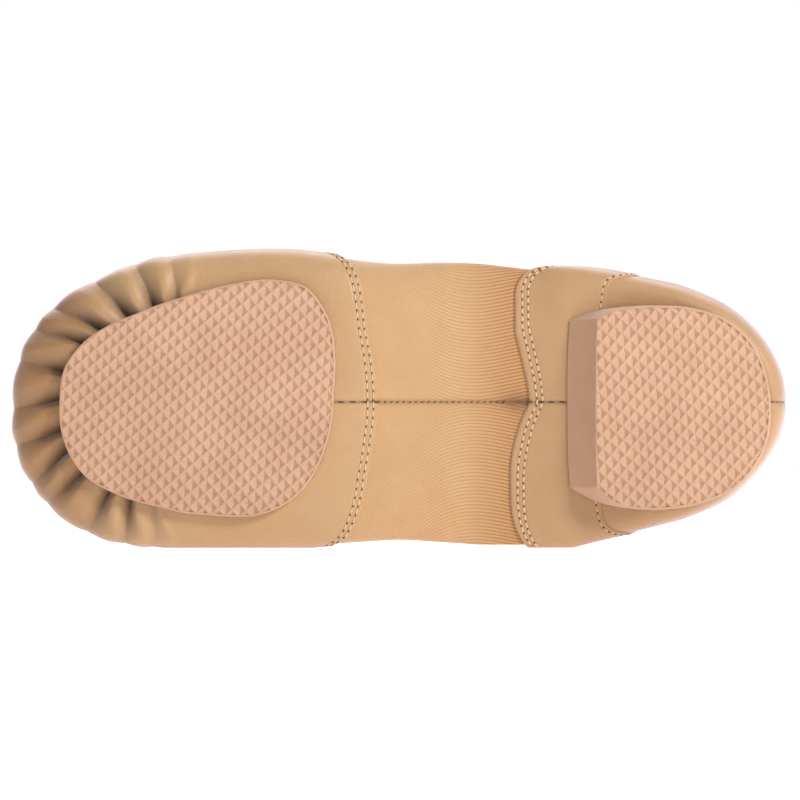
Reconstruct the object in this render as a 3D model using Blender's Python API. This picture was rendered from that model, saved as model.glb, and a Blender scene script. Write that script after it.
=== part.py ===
"""Left jazz shoe with a split sole, a pleated leather toe and a knitted arch, lying on its inner side.

Metres, +Z up. The shoe is modelled upright in its own frame (along the foot from the heel, across
it to the outer side, up from the ground). One parent empty then lays it on its side: toe to -X,
tread to -Y, outer side up, with the flattened inner side on the floor.
"""
import math

import bmesh
import bpy
import numpy as np
from mathutils import Matrix

# Driving sizes of the shoe.
SHOE_LENGTH = 0.240
BALL_WIDTH = 0.0928
INSTEP_HEIGHT = 0.0600
COLLAR_HEIGHT = 0.0600
HEEL_HEIGHT = 0.0100
PAD_THICKNESS = 0.0030
TOE_SPRING = 0.0050

# The walls, and the sizes of the details on them.
LEATHER_WALL = 0.0020
KNIT_WALL = 0.0011
INSOLE_THICKNESS = 0.0020
PLEAT_DEPTH = 0.0022
PLEAT_HALF_WIDTH = 0.0032
BREAST_SLANT = 0.0082
BINDING_RADIUS = 0.0016
SEAM_STEP_RUN = 0.0005
EDGE_BEVEL = 0.0006

# Clear gaps between the pieces, each the thickness of its glue or thread.
SEAT_GAP = 0.0004
BINDING_GAP = 0.0005
INSOLE_GAP = 0.0007

# How fine the facets are: sides of the outlines, degrees between the fans' columns, points between
# two knots of an outline, and steps of a quarter of the binding's section.
PAD_SIDES = 52
HEEL_SIDES = 56
HEEL_FAN_STEP = 7.5
TOE_FAN_STEP = 3
KNOT_STEPS = 12
BINDING_RESOLUTION = 2

# Places on the shoe in shares of its length, counted from the heel.
HEEL_POLE = 0.152
THROAT = 0.545
TOE_POLE = 0.823
SEAT_FRONT = 0.283
SLANT_START = 0.200

# The inner side is flattened where it rests, at this share of half the ball width.
REST_SHARE = 0.972

HALF_BALL = BALL_WIDTH / 2
KNIT_INSET = LEATHER_WALL - KNIT_WALL
PAD_LEVEL = PAD_THICKNESS + SEAT_GAP
HEEL_LEVEL = HEEL_HEIGHT + SEAT_GAP
REST_WIDTH = HALF_BALL * REST_SHARE
TOLERANCE = 1e-6
WELD = 2e-5
SMOOTH_ANGLE = 35

# How square the turn from the underside to the side is (2 is an ellipse).
UNDER_SQUARENESS = 2.6

# Levels round a section run from 0 at the centre of the underside to 1 at the ridge. These are the
# levels where the underside stops being flat and where the section is widest.
FLAT_END = 0.25
WIDEST = 0.5

# Colour and roughness of each piece.
LOOKS = {
    "upper": ((0.52, 0.30, 0.16), 0.50),
    "insole": ((0.60, 0.47, 0.34), 0.90),
    "forefoot_pad": ((0.62, 0.42, 0.31), 0.70),
    "heel": ((0.62, 0.42, 0.31), 0.65),
    "collar_binding": ((0.50, 0.29, 0.16), 0.55),
}

# Half widths of the outline in shares of half the ball width, against shares of the length.
WIDTH_COLUMNS = ("station", "outer", "inner")
WIDTHS = (
    (0.152, 0.808, 0.818),
    (0.191, 0.848, 0.868),
    (0.243, 0.894, 0.930),
    (0.294, 0.908, 0.990),
    (0.325, 0.902, 1.012),
    (0.360, 0.920, 1.000),
    (0.397, 0.941, 0.975),
    (0.449, 0.948, 0.955),
    (0.501, 0.941, 0.941),
    (0.552, 0.961, 0.955),
    (0.604, 1.001, 0.970),
    (0.655, 1.021, 0.985),
    (0.707, 1.015, 0.998),
    (0.759, 0.995, 0.990),
    (0.823, 0.957, 0.967),
)

# Radii of the fans round the two poles, in shares of the ellipse that each would be.
FAN_COLUMNS = ("angle", "toe_outer", "toe_inner", "heel")
FANS = (
    (0, 1.000, 1.000, 1.000),
    (15, 1.000, 1.025, 0.992),
    (30, 0.990, 1.035, 0.970),
    (45, 0.968, 1.030, 0.953),
    (60, 0.945, 1.018, 0.947),
    (75, 0.947, 1.003, 0.955),
    (90, 1.000, 1.000, 1.000),
)

# Form of each cross section: lift of the underside from pad level (0) to heel level (1), share of
# the toe spring, flat share of the underside, heights of the widest point and of the ridge in
# shares of the instep height, how square the shoulder is (2 is an ellipse), and the level where
# the opening under the pad or the heel ends.
FORM_COLUMNS = ("station", "lift", "spring", "flat", "widest", "ridge", "shoulder", "open")
FORMS = (
    (0.000, 1.00, 0.00, 0.84, 0.400, 1.27, 2.30, 0.160),
    (0.152, 1.00, 0.00, 0.84, 0.360, 1.30, 2.10, 0.155),
    (0.200, 1.00, 0.00, 0.84, 0.325, 1.30, 1.95, 0.140),
    (0.243, 1.00, 0.00, 0.82, 0.305, 1.30, 1.80, 0.000),
    (0.283, 1.00, 0.00, 0.76, 0.262, 1.29, 1.75, 0.000),
    (0.333, 1.20, 0.00, 0.58, 0.255, 1.26, 1.70, 0.000),
    (0.397, 1.25, 0.00, 0.42, 0.270, 1.18, 1.70, 0.000),
    (0.449, 0.95, 0.00, 0.38, 0.268, 1.10, 1.75, 0.000),
    (0.501, 0.50, 0.00, 0.42, 0.270, 1.03, 1.80, 0.000),
    (0.552, 0.12, 0.00, 0.52, 0.245, 0.96, 1.85, 0.000),
    (0.604, 0.00, 0.00, 0.60, 0.235, 0.87, 1.95, 0.000),
    (0.640, 0.00, 0.00, 0.62, 0.228, 0.80, 2.00, 0.000),
    (0.700, 0.00, 0.00, 0.64, 0.222, 0.71, 2.05, 0.185),
    (0.759, 0.00, 0.02, 0.64, 0.220, 0.63, 2.10, 0.190),
    (0.823, 0.00, 0.12, 0.64, 0.225, 0.55, 2.15, 0.190),
    (0.900, 0.00, 0.45, 0.62, 0.245, 0.50, 2.20, 0.185),
    (1.000, 0.00, 1.00, 0.60, 0.285, 0.45, 2.20, 0.175),
)

# Height of the topline, as a share of the collar height plus a share of the instep height. At the
# throat it is all instep height, so that it meets the ridge there at any size.
TOPLINE_COLUMNS = ("station", "collar", "instep")
TOPLINE = (
    (0.000, 1.000, 0.000),
    (0.080, 0.965, 0.000),
    (0.152, 0.915, 0.000),
    (0.250, 0.800, 0.050),
    (0.330, 0.630, 0.200),
    (0.400, 0.455, 0.400),
    (0.460, 0.280, 0.620),
    (0.510, 0.115, 0.830),
    (0.545, 0.000, 0.970),
)

# Seams across the shoe on each side, against the level round the section: 0 is the centre of the
# underside, 0.5 the widest point and 1 the ridge. The throat column only guides the grid.
SEAM_COLUMNS = (
    "level", "counter_outer", "band_outer", "throat_outer", "vamp_outer",
    "counter_inner", "band_inner", "throat_inner", "vamp_inner",
)
SEAMS = (
    (0.00, 0.236, 0.333, 0.440, 0.529, 0.236, 0.333, 0.440, 0.529),
    (0.06, 0.236, 0.336, 0.441, 0.530, 0.236, 0.345, 0.442, 0.530),
    (0.12, 0.236, 0.341, 0.442, 0.532, 0.236, 0.352, 0.445, 0.533),
    (0.19, 0.236, 0.347, 0.445, 0.536, 0.236, 0.357, 0.448, 0.537),
    (0.26, 0.235, 0.352, 0.449, 0.542, 0.235, 0.358, 0.451, 0.543),
    (0.33, 0.233, 0.352, 0.452, 0.548, 0.233, 0.354, 0.455, 0.553),
    (0.40, 0.228, 0.343, 0.456, 0.558, 0.228, 0.342, 0.458, 0.566),
    (0.46, 0.212, 0.329, 0.462, 0.571, 0.212, 0.329, 0.462, 0.582),
    (0.55, 0.196, 0.312, 0.475, 0.590, 0.196, 0.312, 0.475, 0.600),
    (0.70, 0.182, 0.300, 0.505, 0.606, 0.182, 0.300, 0.505, 0.612),
    (0.85, 0.176, 0.295, 0.532, 0.614, 0.176, 0.295, 0.532, 0.617),
    (1.00, 0.174, 0.292, 0.545, 0.618, 0.174, 0.292, 0.545, 0.618),
)

# Gathers of the toe: angle round the toe pole where each starts at the pad and where it dies out,
# outer side positive, with its depth and half width in shares of the named sizes.
PLEATS = (
    (97, 85, 0.90, 1.20),
    (77, 66, 1.00, 1.30),
    (58, 44, 1.05, 1.25),
    (42, 31, 0.95, 1.05),
    (21, 18, 0.85, 1.00),
    (2, -4, 0.90, 1.00),
    (-16, -18, 0.85, 0.95),
    (-32, -34, 1.05, 0.90),
    (-49, -44, 1.05, 0.85),
    (-68, -64, 1.00, 0.90),
    (-80, -81, 0.90, 0.85),
)
# A gather starts this far before the pad's edge, as a share of the way from it to the outline, and
# dies out at this share of the widest height.
PLEAT_LEAD = 0.5
PLEAT_TOP = 1.6

# Outline of the forefoot pad round its own centre: angle from the toe with the outer side
# positive, and radius in shares of half the ball width.
PAD_CENTRE = (0.759, 0.013)
PAD_OUTLINE = (
    (0, 0.928),
    (13, 0.921),
    (25, 0.868),
    (39, 0.784),
    (53, 0.714),
    (73, 0.688),
    (94, 0.734),
    (110, 0.834),
    (122, 0.945),
    (136, 1.041),
    (148, 1.020),
    (163, 0.950),
    (180, 0.898),
    (200, 0.900),
    (218, 0.914),
    (231, 0.901),
    (244, 0.858),
    (256, 0.800),
    (271, 0.761),
    (292, 0.764),
    (310, 0.828),
    (327, 0.914),
    (346, 0.940),
)

# Outline of the heel's seat, from the outer corner of its front edge round the back.
HEEL_CENTRE = (0.160, -0.040)
HEEL_CORNERS = (0, 18)
HEEL_OUTLINE = (
    (0.281, 0.550),
    (0.250, 0.607),
    (0.214, 0.634),
    (0.172, 0.643),
    (0.132, 0.632),
    (0.094, 0.582),
    (0.063, 0.485),
    (0.041, 0.345),
    (0.028, 0.170),
    (0.023, -0.020),
    (0.025, -0.200),
    (0.035, -0.360),
    (0.056, -0.515),
    (0.084, -0.618),
    (0.121, -0.688),
    (0.168, -0.718),
    (0.214, -0.704),
    (0.247, -0.664),
    (0.281, -0.572),
    (0.284, -0.280),
    (0.284, 0.260),
)

# Columns of the grid between the seams, counted from the heel pole: shares of the way from one seam
# to the next, and how far the face lies inside the leather's.
SECTION_SHARES = (
    ((0.0, 0.5), 0.0),
    ((0.0, 0.35, 0.7, 1.0), 0.0),
    ((0.0, 0.12, 0.26, 0.4, 0.54, 0.66, 0.76, 0.84, 0.91, 0.96, 0.99), KNIT_INSET),
    ((0.0, 0.3, 0.65, 1.0), KNIT_INSET),
    ((0.0, 0.12, 0.25, 0.38, 0.5, 0.6, 0.7, 0.8, 0.9), 0.0),
)
THROAT_SECTION = 3
# At each lap of leather over knit, a column stands this many half steps before or behind the seam.
SEAM_NUDGES = {(1, 1.0): -1, (2, 0.0): 1, (3, 1.0): -1, (4, 0.0): 1}

# Rows of the grid in shares: of the flat part, of the turn and of the side up to the topline.
UNDER_ROWS = (0.0, 0.4, 0.75)
TURN_ROWS = (0.0, 0.12, 0.3, 0.5, 0.7, 0.86)
UPPER_ROWS = (0.0, 0.1, 0.22, 0.36, 0.52, 0.68, 0.84, 1.0)
# The level where a column starts or ends is found in this many steps. Columns that end this near to
# the centre line or the ridge end on it.
LEVEL_STEPS = 8
CENTRE_LEVEL = 0.02
RIDGE_LEVEL = 0.995

# Rings of the sheets, in shares of the way to their edges, and the level of the insole's edge.
SHEET_RINGS = (0.45, 0.7, 0.81, 0.9, 1.0)
INSOLE_RINGS = (0.45, 0.75, 1.0)
INSOLE_LEVEL = 0.33


def curve_through(knots, values, at):
    """Smooth curve through a row of knots, without overshoot and held level beyond both ends."""
    knots = np.asarray(knots, float)
    values = np.asarray(values, float)
    secants = np.diff(values) / np.diff(knots)
    slopes = np.gradient(values, knots)
    slopes[1:-1] = np.where(secants[1:] * secants[:-1] > 0, slopes[1:-1], 0.0)
    at = np.clip(at, knots[0], knots[-1])
    row = np.clip(np.searchsorted(knots, at, side="right") - 1, 0, len(knots) - 2)
    span = knots[row + 1] - knots[row]
    t = (at - knots[row]) / span
    start = values[row] * (1 + 2 * t) * (1 - t) ** 2 + slopes[row] * span * t * (1 - t) ** 2
    end = values[row + 1] * t * t * (3 - 2 * t) + slopes[row + 1] * span * t * t * (t - 1)
    return start + end


def table(rows, columns, name, at):
    """A named column of a table, against its first column."""
    return curve_through([row[0] for row in rows], [row[columns.index(name)] for row in rows], at)


def round_table(rows, angle):
    """A two-column table that runs once round a closed outline, in degrees."""
    first, last = rows[0], rows[-1]
    closed = ((last[0] - 360, last[1]),) + rows + ((first[0] + 360, first[1]),)
    return curve_through([row[0] for row in closed], [row[1] for row in closed], np.mod(angle, 360))


def blend(t):
    """Smooth step from 0 to 1."""
    t = np.clip(t, 0.0, 1.0)
    return t * t * (3 - 2 * t)


def form(name, station):
    """A value of the cross section's form at a station."""
    return table(FORMS, FORM_COLUMNS, name, station)


def sole_level(along):
    """Height of the upper's underside above the ground."""
    station = along / SHOE_LENGTH
    lift = form("lift", station) * (HEEL_LEVEL - PAD_LEVEL)
    return PAD_LEVEL + lift + form("spring", station) * TOE_SPRING


def half_width(side, station):
    """Half the width of the outline on one side."""
    outer = table(WIDTHS, WIDTH_COLUMNS, "outer", station)
    inner = table(WIDTHS, WIDTH_COLUMNS, "inner", station)
    return HALF_BALL * np.where(side > 0, outer, inner)


def column_of(side, station, angle):
    """Pole, direction in plan and length of a radial section.

    side is 1 on the outer side and -1 on the inner side. angle is 90 between the poles, and runs
    to 0 round a pole, at the tip of the toe or at the back of the heel.
    """
    toe = station > THROAT
    outer = table(FANS, FAN_COLUMNS, "toe_outer", angle)
    inner = table(FANS, FAN_COLUMNS, "toe_inner", angle)
    heel = table(FANS, FAN_COLUMNS, "heel", angle)
    share = np.where(toe, np.where(side > 0, outer, inner), heel)
    pole = station * SHOE_LENGTH
    run = share * np.where(toe, SHOE_LENGTH - pole, -pole) * np.cos(np.radians(angle))
    out = share * half_width(side, station) * np.sin(np.radians(angle)) * side
    radius = np.hypot(run, out)
    return pole, run / radius, out / radius, radius


def pad_edge(angle):
    """Rough distance of the pad's edge from the toe pole."""
    back = (TOE_POLE - PAD_CENTRE[0]) * SHOE_LENGTH
    return HALF_BALL * round_table(PAD_OUTLINE, angle) - back * np.cos(np.radians(angle))


def pleat_dent(along, across, height, widest):
    """Depth of the toe's gathers at a place on the upper."""
    run = along - TOE_POLE * SHOE_LENGTH
    radius = np.hypot(run, across)
    angle = np.degrees(np.arctan2(across, run))
    edge = pad_edge(angle)
    progress = (radius - edge) / (HALF_BALL - edge)
    dent = np.zeros_like(radius)
    for at_pad, at_outline, depth, width in PLEATS:
        centre = at_pad + (at_outline - at_pad) * np.clip(progress, 0.0, 1.0)
        offset = np.radians(angle - centre) * radius / (width * PLEAT_HALF_WIDTH)
        dent = np.maximum(dent, depth * np.clip(1 - offset ** 2, 0, None) ** 2)
    fade_in = blend((progress + PLEAT_LEAD) / PLEAT_LEAD)
    fade_out = 1 - blend(height / (widest * PLEAT_TOP))
    return PLEAT_DEPTH * dent * fade_in * fade_out


def upper_point(side, station, angle, level, inset):
    """Points of the upper at a level round the section, inset from the leather's outside."""
    pole, along_part, across_part, radius = column_of(side, station, angle)
    rim = (pole + along_part * radius) / SHOE_LENGTH
    flat = form("flat", rim)
    widest = INSTEP_HEIGHT * form("widest", rim)
    ridge = INSTEP_HEIGHT * form("ridge", station) - inset
    power = 2 / form("shoulder", rim)
    under_power = 2 / UNDER_SQUARENESS
    turned = np.clip((level - FLAT_END) / (WIDEST - FLAT_END), 0, 1)
    low_turn = turned * np.pi / 2
    high_turn = np.clip((level - WIDEST) / (1 - WIDEST), 0, 1) * np.pi / 2
    low_out = flat + (1 - flat) * np.sin(low_turn) ** under_power
    low_reach = np.where(level < FLAT_END, flat * level / FLAT_END, low_out)
    high_reach = np.clip(np.cos(high_turn), 0, None) ** power
    distance = (radius - inset) * np.where(level <= WIDEST, low_reach, high_reach)
    along = pole + along_part * distance
    floor = sole_level(along) + inset
    low_height = floor + (widest - floor) * (1 - np.clip(np.cos(low_turn), 0, None) ** under_power)
    high_height = widest + (ridge - widest) * np.sin(high_turn) ** power
    height = np.where(level <= WIDEST, low_height, high_height)
    dent = pleat_dent(along, across_part * distance, height, widest)
    inwards = blend(turned)
    distance = distance - dent * inwards
    across = np.maximum(across_part * distance, inset - REST_WIDTH)
    return np.stack([pole + along_part * distance, across, height + dent * (1 - inwards)], axis=-1)


def under_height(along, across, inset):
    """Height of the upper's underside over a place in plan, without the gathers."""
    side = np.where(across >= 0, 1, -1)
    station = np.clip(along / SHOE_LENGTH, HEEL_POLE, TOE_POLE)
    pole = station * SHOE_LENGTH
    reach = np.where(station > THROAT, SHOE_LENGTH - pole, -pole)
    angle = np.degrees(np.arctan2(np.abs(across) / half_width(side, station), (along - pole) / reach))
    pole, along_part, across_part, radius = column_of(side, station, angle)
    rim = (pole + along_part * radius) / SHOE_LENGTH
    flat = form("flat", rim)
    share = np.hypot(along - pole, across) / (radius - inset)
    out = np.clip((share - flat) / (1 - flat), 0, 1)
    up = 1 - (1 - out ** UNDER_SQUARENESS) ** (1 / UNDER_SQUARENESS)
    floor = sole_level(along) + inset
    return floor + (INSTEP_HEIGHT * form("widest", rim) - floor) * up


def topline_level(station, rim_station):
    """Level round the section where the upper ends: 1 is the ridge, in front of the throat."""
    widest = INSTEP_HEIGHT * form("widest", rim_station)
    ridge = INSTEP_HEIGHT * form("ridge", station)
    line = COLLAR_HEIGHT * table(TOPLINE, TOPLINE_COLUMNS, "collar", rim_station)
    line = line + INSTEP_HEIGHT * table(TOPLINE, TOPLINE_COLUMNS, "instep", rim_station)
    rise = np.clip((line - widest) / (ridge - widest), 0, 1)
    turn = np.arcsin(rise ** (form("shoulder", rim_station) / 2))
    return np.where(station >= THROAT - TOLERANCE, 1.0, WIDEST + turn / np.pi)


def grid_columns():
    """Columns round one side of the shoe: section number, share of it, fan angle, inset and nudge."""
    step = SEAM_STEP_RUN / SHOE_LENGTH / 2
    columns = [(0, 0.0, angle, 0.0, 0.0) for angle in np.arange(0, 90, HEEL_FAN_STEP)]
    for section, (shares, inset) in enumerate(SECTION_SHARES):
        for share in shares:
            nudge = step * SEAM_NUDGES.get((section, share), 0)
            columns.append((section, share, 90.0, inset, nudge))
    last = len(SECTION_SHARES) - 1
    columns += [(last, 1.0, angle, 0.0, 0.0) for angle in np.arange(90, -1, -TOE_FAN_STEP)]
    return columns


def round_walk(columns):
    """Columns with their sides, once round the shoe: up the outer side and back down the inner one."""
    return [(column, 1) for column in columns] + [(column, -1) for column in columns[-2:0:-1]]


def station_of(column, side, level):
    """Station of a column at a level, between the seams that run round the shoe."""
    section, share, angle, inset, nudge = column
    name = "outer" if side > 0 else "inner"
    seams = [
        np.full_like(level, HEEL_POLE),
        table(SEAMS, SEAM_COLUMNS, "counter_" + name, level),
        table(SEAMS, SEAM_COLUMNS, "band_" + name, level),
        table(SEAMS, SEAM_COLUMNS, "throat_" + name, level),
        table(SEAMS, SEAM_COLUMNS, "vamp_" + name, level),
        np.full_like(level, TOE_POLE),
    ]
    return seams[section] + (seams[section + 1] - seams[section]) * share + nudge


def column_levels(column, side):
    """Levels of one column's rows, from the edge of the opening below to the topline."""
    angle = column[2]
    low = np.array([0.0])
    high = np.array([1.0])
    for _ in range(LEVEL_STEPS):
        low = form("open", station_of(column, side, low))
        station = station_of(column, side, high)
        pole, along_part, _, radius = column_of(side, station, angle)
        high = topline_level(station, (pole + along_part * radius) / SHOE_LENGTH)
    if low[0] < CENTRE_LEVEL:
        low[0] = 0.0
    if high[0] > RIDGE_LEVEL:
        high[0] = 1.0
    under = low[0] + (FLAT_END - low[0]) * np.array(UNDER_ROWS)
    turn = FLAT_END + (WIDEST - FLAT_END) * np.array(TURN_ROWS)
    upper = WIDEST + (high[0] - WIDEST) * np.array(UPPER_ROWS)
    return np.concatenate([under, turn, upper])


def shoe_grid(all_inset=None):
    """Rows of points for every column round the whole shoe, once round and back to the heel."""
    points = []
    levels = []
    for column, side in round_walk(grid_columns()):
        rows = column_levels(column, side)
        station = station_of(column, side, rows)
        inset = column[3] if all_inset is None else all_inset
        sides = np.full_like(rows, side)
        angles = np.full_like(rows, column[2])
        points.append(upper_point(sides, station, angles, rows, inset))
        levels.append(rows)
    return np.array(points), np.array(levels)


def finish(name, data, parent):
    """An object in the shoe's collection, with its own material."""
    colour, roughness = LOOKS[name]
    material = bpy.data.materials.new(name)
    material.use_nodes = True
    shader = material.node_tree.nodes["Principled BSDF"]
    shader.inputs["Base Color"].default_value = colour + (1.0,)
    shader.inputs["Roughness"].default_value = roughness
    data.materials.append(material)
    obj = bpy.data.objects.new(name, data)
    bpy.data.collections["jazz_shoe"].objects.link(obj)
    obj.parent = parent
    return obj


def solid_from(name, verts, faces, parent):
    """A closed mesh object from points and faces, welded and with its normals outwards."""
    bm = bmesh.new()
    made = [bm.verts.new(vert) for vert in verts]
    for face in faces:
        bm.faces.new([made[index] for index in face])
    bmesh.ops.remove_doubles(bm, verts=bm.verts, dist=WELD)
    bmesh.ops.recalc_face_normals(bm, faces=bm.faces)
    if bm.calc_volume(signed=True) < 0:
        bmesh.ops.reverse_faces(bm, faces=bm.faces)
    mesh = bpy.data.meshes.new(name)
    bm.to_mesh(mesh)
    bm.free()
    mesh.shade_smooth()
    mesh.set_sharp_from_angle(angle=math.radians(SMOOTH_ANGLE))
    return finish(name, mesh, parent)


def make_upper(parent):
    """Vamp, knitted arch and heel leather as one hollow wall with a step at each overlap."""
    outside, levels = shoe_grid()
    inside, _ = shoe_grid(LEATHER_WALL)
    count, rows = levels.shape
    verts = [tuple(point) for point in outside.reshape(-1, 3)]
    verts += [tuple(point) for point in inside.reshape(-1, 3)]
    faces = []
    for column in range(count):
        after = (column + 1) % count
        for row in range(rows - 1):
            a, b = column * rows + row, after * rows + row
            faces.append((a, b, b + 1, a + 1))
            shift = count * rows
            faces.append((a + 1 + shift, b + 1 + shift, b + shift, a + shift))
        for row, closed in ((0, 0.0), (rows - 1, 1.0)):
            if levels[column][row] == closed and levels[after][row] == closed:
                continue
            a, b = column * rows + row, after * rows + row
            faces.append((a, b, b + count * rows, a + count * rows))
    return solid_from("upper", verts, faces, parent)


def between_sheets(name, top, bottom, parent):
    """A closed solid between two sheets: rings of points from a centre outwards."""
    rings, count = top.shape[:2]
    shift = rings * count
    verts = [tuple(point) for point in top.reshape(-1, 3)]
    verts += [tuple(point) for point in bottom.reshape(-1, 3)]
    verts.append(tuple(top[0].mean(axis=0)))
    verts.append(tuple(bottom[0].mean(axis=0)))
    faces = []
    for index in range(count):
        after = (index + 1) % count
        for ring in range(rings - 1):
            a, b = ring * count + index, ring * count + after
            faces.append((a, b, b + count, a + count))
            faces.append((a + shift + count, b + shift + count, b + shift, a + shift))
        a, b = (rings - 1) * count + index, (rings - 1) * count + after
        faces.append((a, b, b + shift, a + shift))
        faces.append((index, 2 * shift, after))
        faces.append((after + shift, 2 * shift + 1, index + shift))
    return solid_from(name, verts, faces, parent)


def round_outline(points, corners, count):
    """Closed smooth curve through points, in equal shares of its length."""
    points = np.asarray(points, float)
    steps = np.linspace(0, 1, KNOT_STEPS, endpoint=False)
    dense = []
    total = len(points)
    for index in range(total):
        before, start = points[index - 1], points[index]
        end, after = points[(index + 1) % total], points[(index + 2) % total]
        leaving = end - start if index in corners else (end - before) / 2
        arriving = end - start if (index + 1) % total in corners else (after - start) / 2
        for t in steps:
            between = start * (1 + 2 * t) * (1 - t) ** 2 + end * t * t * (3 - 2 * t)
            dense.append(between + leaving * t * (1 - t) ** 2 + arriving * t * t * (t - 1))
    dense = np.array(dense)
    lengths = np.linalg.norm(np.roll(dense, -1, axis=0) - dense, axis=1)
    travelled = np.concatenate([[0.0], np.cumsum(lengths)])
    closed = np.vstack([dense, dense[:1]])
    at = np.arange(count) * travelled[-1] / count
    return np.stack([np.interp(at, travelled, closed[:, axis]) for axis in (0, 1)], axis=-1)


def make_pad(parent):
    """Forefoot pad of the split sole, bent to the upper's underside."""
    count = PAD_SIDES
    angles = np.arange(count) * 360 / count
    radius = HALF_BALL * round_table(PAD_OUTLINE, angles)
    centre = np.array([PAD_CENTRE[0] * SHOE_LENGTH, PAD_CENTRE[1] * HALF_BALL])
    direction = np.stack([np.cos(np.radians(angles)), np.sin(np.radians(angles))], axis=-1)
    top = []
    bottom = []
    for share in SHEET_RINGS:
        top.append(sheet(centre + direction * (radius * share)[:, None], -SEAT_GAP))
    for share in SHEET_RINGS[:-1]:
        bottom.append(sheet(centre + direction * (radius * share)[:, None], -SEAT_GAP, -PAD_THICKNESS))
    inner = centre + direction * (radius - EDGE_BEVEL)[:, None]
    bottom.append(sheet(inner, -SEAT_GAP, -PAD_THICKNESS))
    outer = centre + direction * radius[:, None]
    bottom.append(sheet(outer, -SEAT_GAP, EDGE_BEVEL - PAD_THICKNESS))
    top.append(top[-1])
    return between_sheets("forefoot_pad", np.array(top), np.array(bottom), parent)


def sheet(plan, inset, drop=0.0):
    """Points over a plan outline that follow the upper's underside, dropped by a thickness."""
    height = under_height(plan[:, 0], plan[:, 1], inset) + drop
    return np.column_stack([plan, height])


def make_heel(parent):
    """Moulded heel: seat bent to the upper, slanted breast, flat tread."""
    scale = np.array([SHOE_LENGTH, HALF_BALL])
    outline = round_outline(HEEL_OUTLINE, HEEL_CORNERS, HEEL_SIDES) * scale
    centre = np.array(HEEL_CENTRE) * scale
    front, start = SEAT_FRONT * SHOE_LENGTH, SLANT_START * SHOE_LENGTH
    pull = np.clip((outline[:, 0] - start) / (front - start), 0, None) * BREAST_SLANT
    tread = outline - np.column_stack([pull, np.zeros_like(pull)])
    top = [sheet(centre + (outline - centre) * share, -SEAT_GAP) for share in SHEET_RINGS]
    bottom = []
    for share in SHEET_RINGS[:-1]:
        bottom.append(np.column_stack([centre + (tread - centre) * share, np.zeros(len(tread))]))
    inward = (centre - tread) / np.linalg.norm(centre - tread, axis=1)[:, None]
    bottom.append(np.column_stack([tread + inward * 2 * EDGE_BEVEL, np.zeros(len(tread))]))
    bottom.append(np.column_stack([tread + inward * EDGE_BEVEL, np.full(len(tread), EDGE_BEVEL)]))
    top.append(top[-1])
    return between_sheets("heel", np.array(top), np.array(bottom), parent)


def make_insole(parent):
    """Thin insole that follows the inside of the upper from heel to toe."""
    sheets = []
    walk = round_walk(grid_columns())
    for inset in (LEATHER_WALL + INSOLE_GAP, LEATHER_WALL + INSOLE_GAP + INSOLE_THICKNESS):
        rings = []
        for share in INSOLE_RINGS:
            ring = []
            for column, side in walk:
                level = np.array([INSOLE_LEVEL * share])
                station = station_of(column, side, level)
                angle = np.array([float(column[2])])
                ring.append(upper_point(np.array([side]), station, angle, level, inset)[0])
            rings.append(ring)
        sheets.append(np.array(rings))
    return strip_solid("insole", sheets[1], sheets[0], parent)


def strip_solid(name, top, bottom, parent):
    """A closed solid between two sheets whose inner rings are joined across the middle."""
    rings, count = top.shape[:2]
    shift = rings * count
    verts = [tuple(point) for point in top.reshape(-1, 3)]
    verts += [tuple(point) for point in bottom.reshape(-1, 3)]
    faces = []
    for index in range(count):
        after = (index + 1) % count
        for ring in range(rings - 1):
            a, b = ring * count + index, ring * count + after
            faces.append((a, b, b + count, a + count))
            faces.append((a + shift + count, b + shift + count, b + shift, a + shift))
        a, b = (rings - 1) * count + index, (rings - 1) * count + after
        faces.append((a, b, b + shift, a + shift))
    half = count // 2
    for index in range(half):
        a, b = index, index + 1
        c, d = (count - index) % count, (count - index - 1) % count
        faces.append(tuple(dict.fromkeys((a, b, d, c))))
        faces.append(tuple(dict.fromkeys((c + shift, d + shift, b + shift, a + shift))))
    return solid_from(name, verts, faces, parent)


def topline_ring(inset):
    """Points of the topline all the way round the opening."""
    columns = [column for column in grid_columns() if column[0] < THROAT_SECTION]
    columns.append((THROAT_SECTION, 0.0, 90.0, KNIT_INSET, 0.0))
    ring = []
    for column, side in round_walk(columns):
        level = column_levels(column, side)[-1:]
        station = station_of(column, side, level)
        ring.append(upper_point(np.array([side]), station, np.array([column[2]]), level, inset)[0])
    return np.array(ring)


def make_binding(parent):
    """Rounded binding that runs just above the topline, all the way round the opening."""
    rim = topline_ring((LEATHER_WALL + KNIT_INSET) / 2)
    outward = topline_ring(0.0) - topline_ring(LEATHER_WALL)
    wall = np.cross(np.roll(rim, -1, axis=0) - np.roll(rim, 1, axis=0), outward)
    wall /= np.linalg.norm(wall, axis=1)[:, None]
    centres = rim + wall * (BINDING_RADIUS + BINDING_GAP)
    curve = bpy.data.curves.new("binding_path", "CURVE")
    curve.dimensions = "3D"
    curve.bevel_depth = BINDING_RADIUS
    curve.bevel_resolution = BINDING_RESOLUTION
    spline = curve.splines.new("POLY")
    spline.points.add(len(centres) - 1)
    for point, centre in zip(spline.points, centres):
        point.co = (*centre, 1.0)
    spline.use_cyclic_u = True
    path = bpy.data.objects.new("binding_path", curve)
    mesh = bpy.data.meshes.new_from_object(path)
    bpy.data.objects.remove(path)
    mesh.name = "collar_binding"
    mesh.shade_smooth()
    return finish("collar_binding", mesh, parent)


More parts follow.
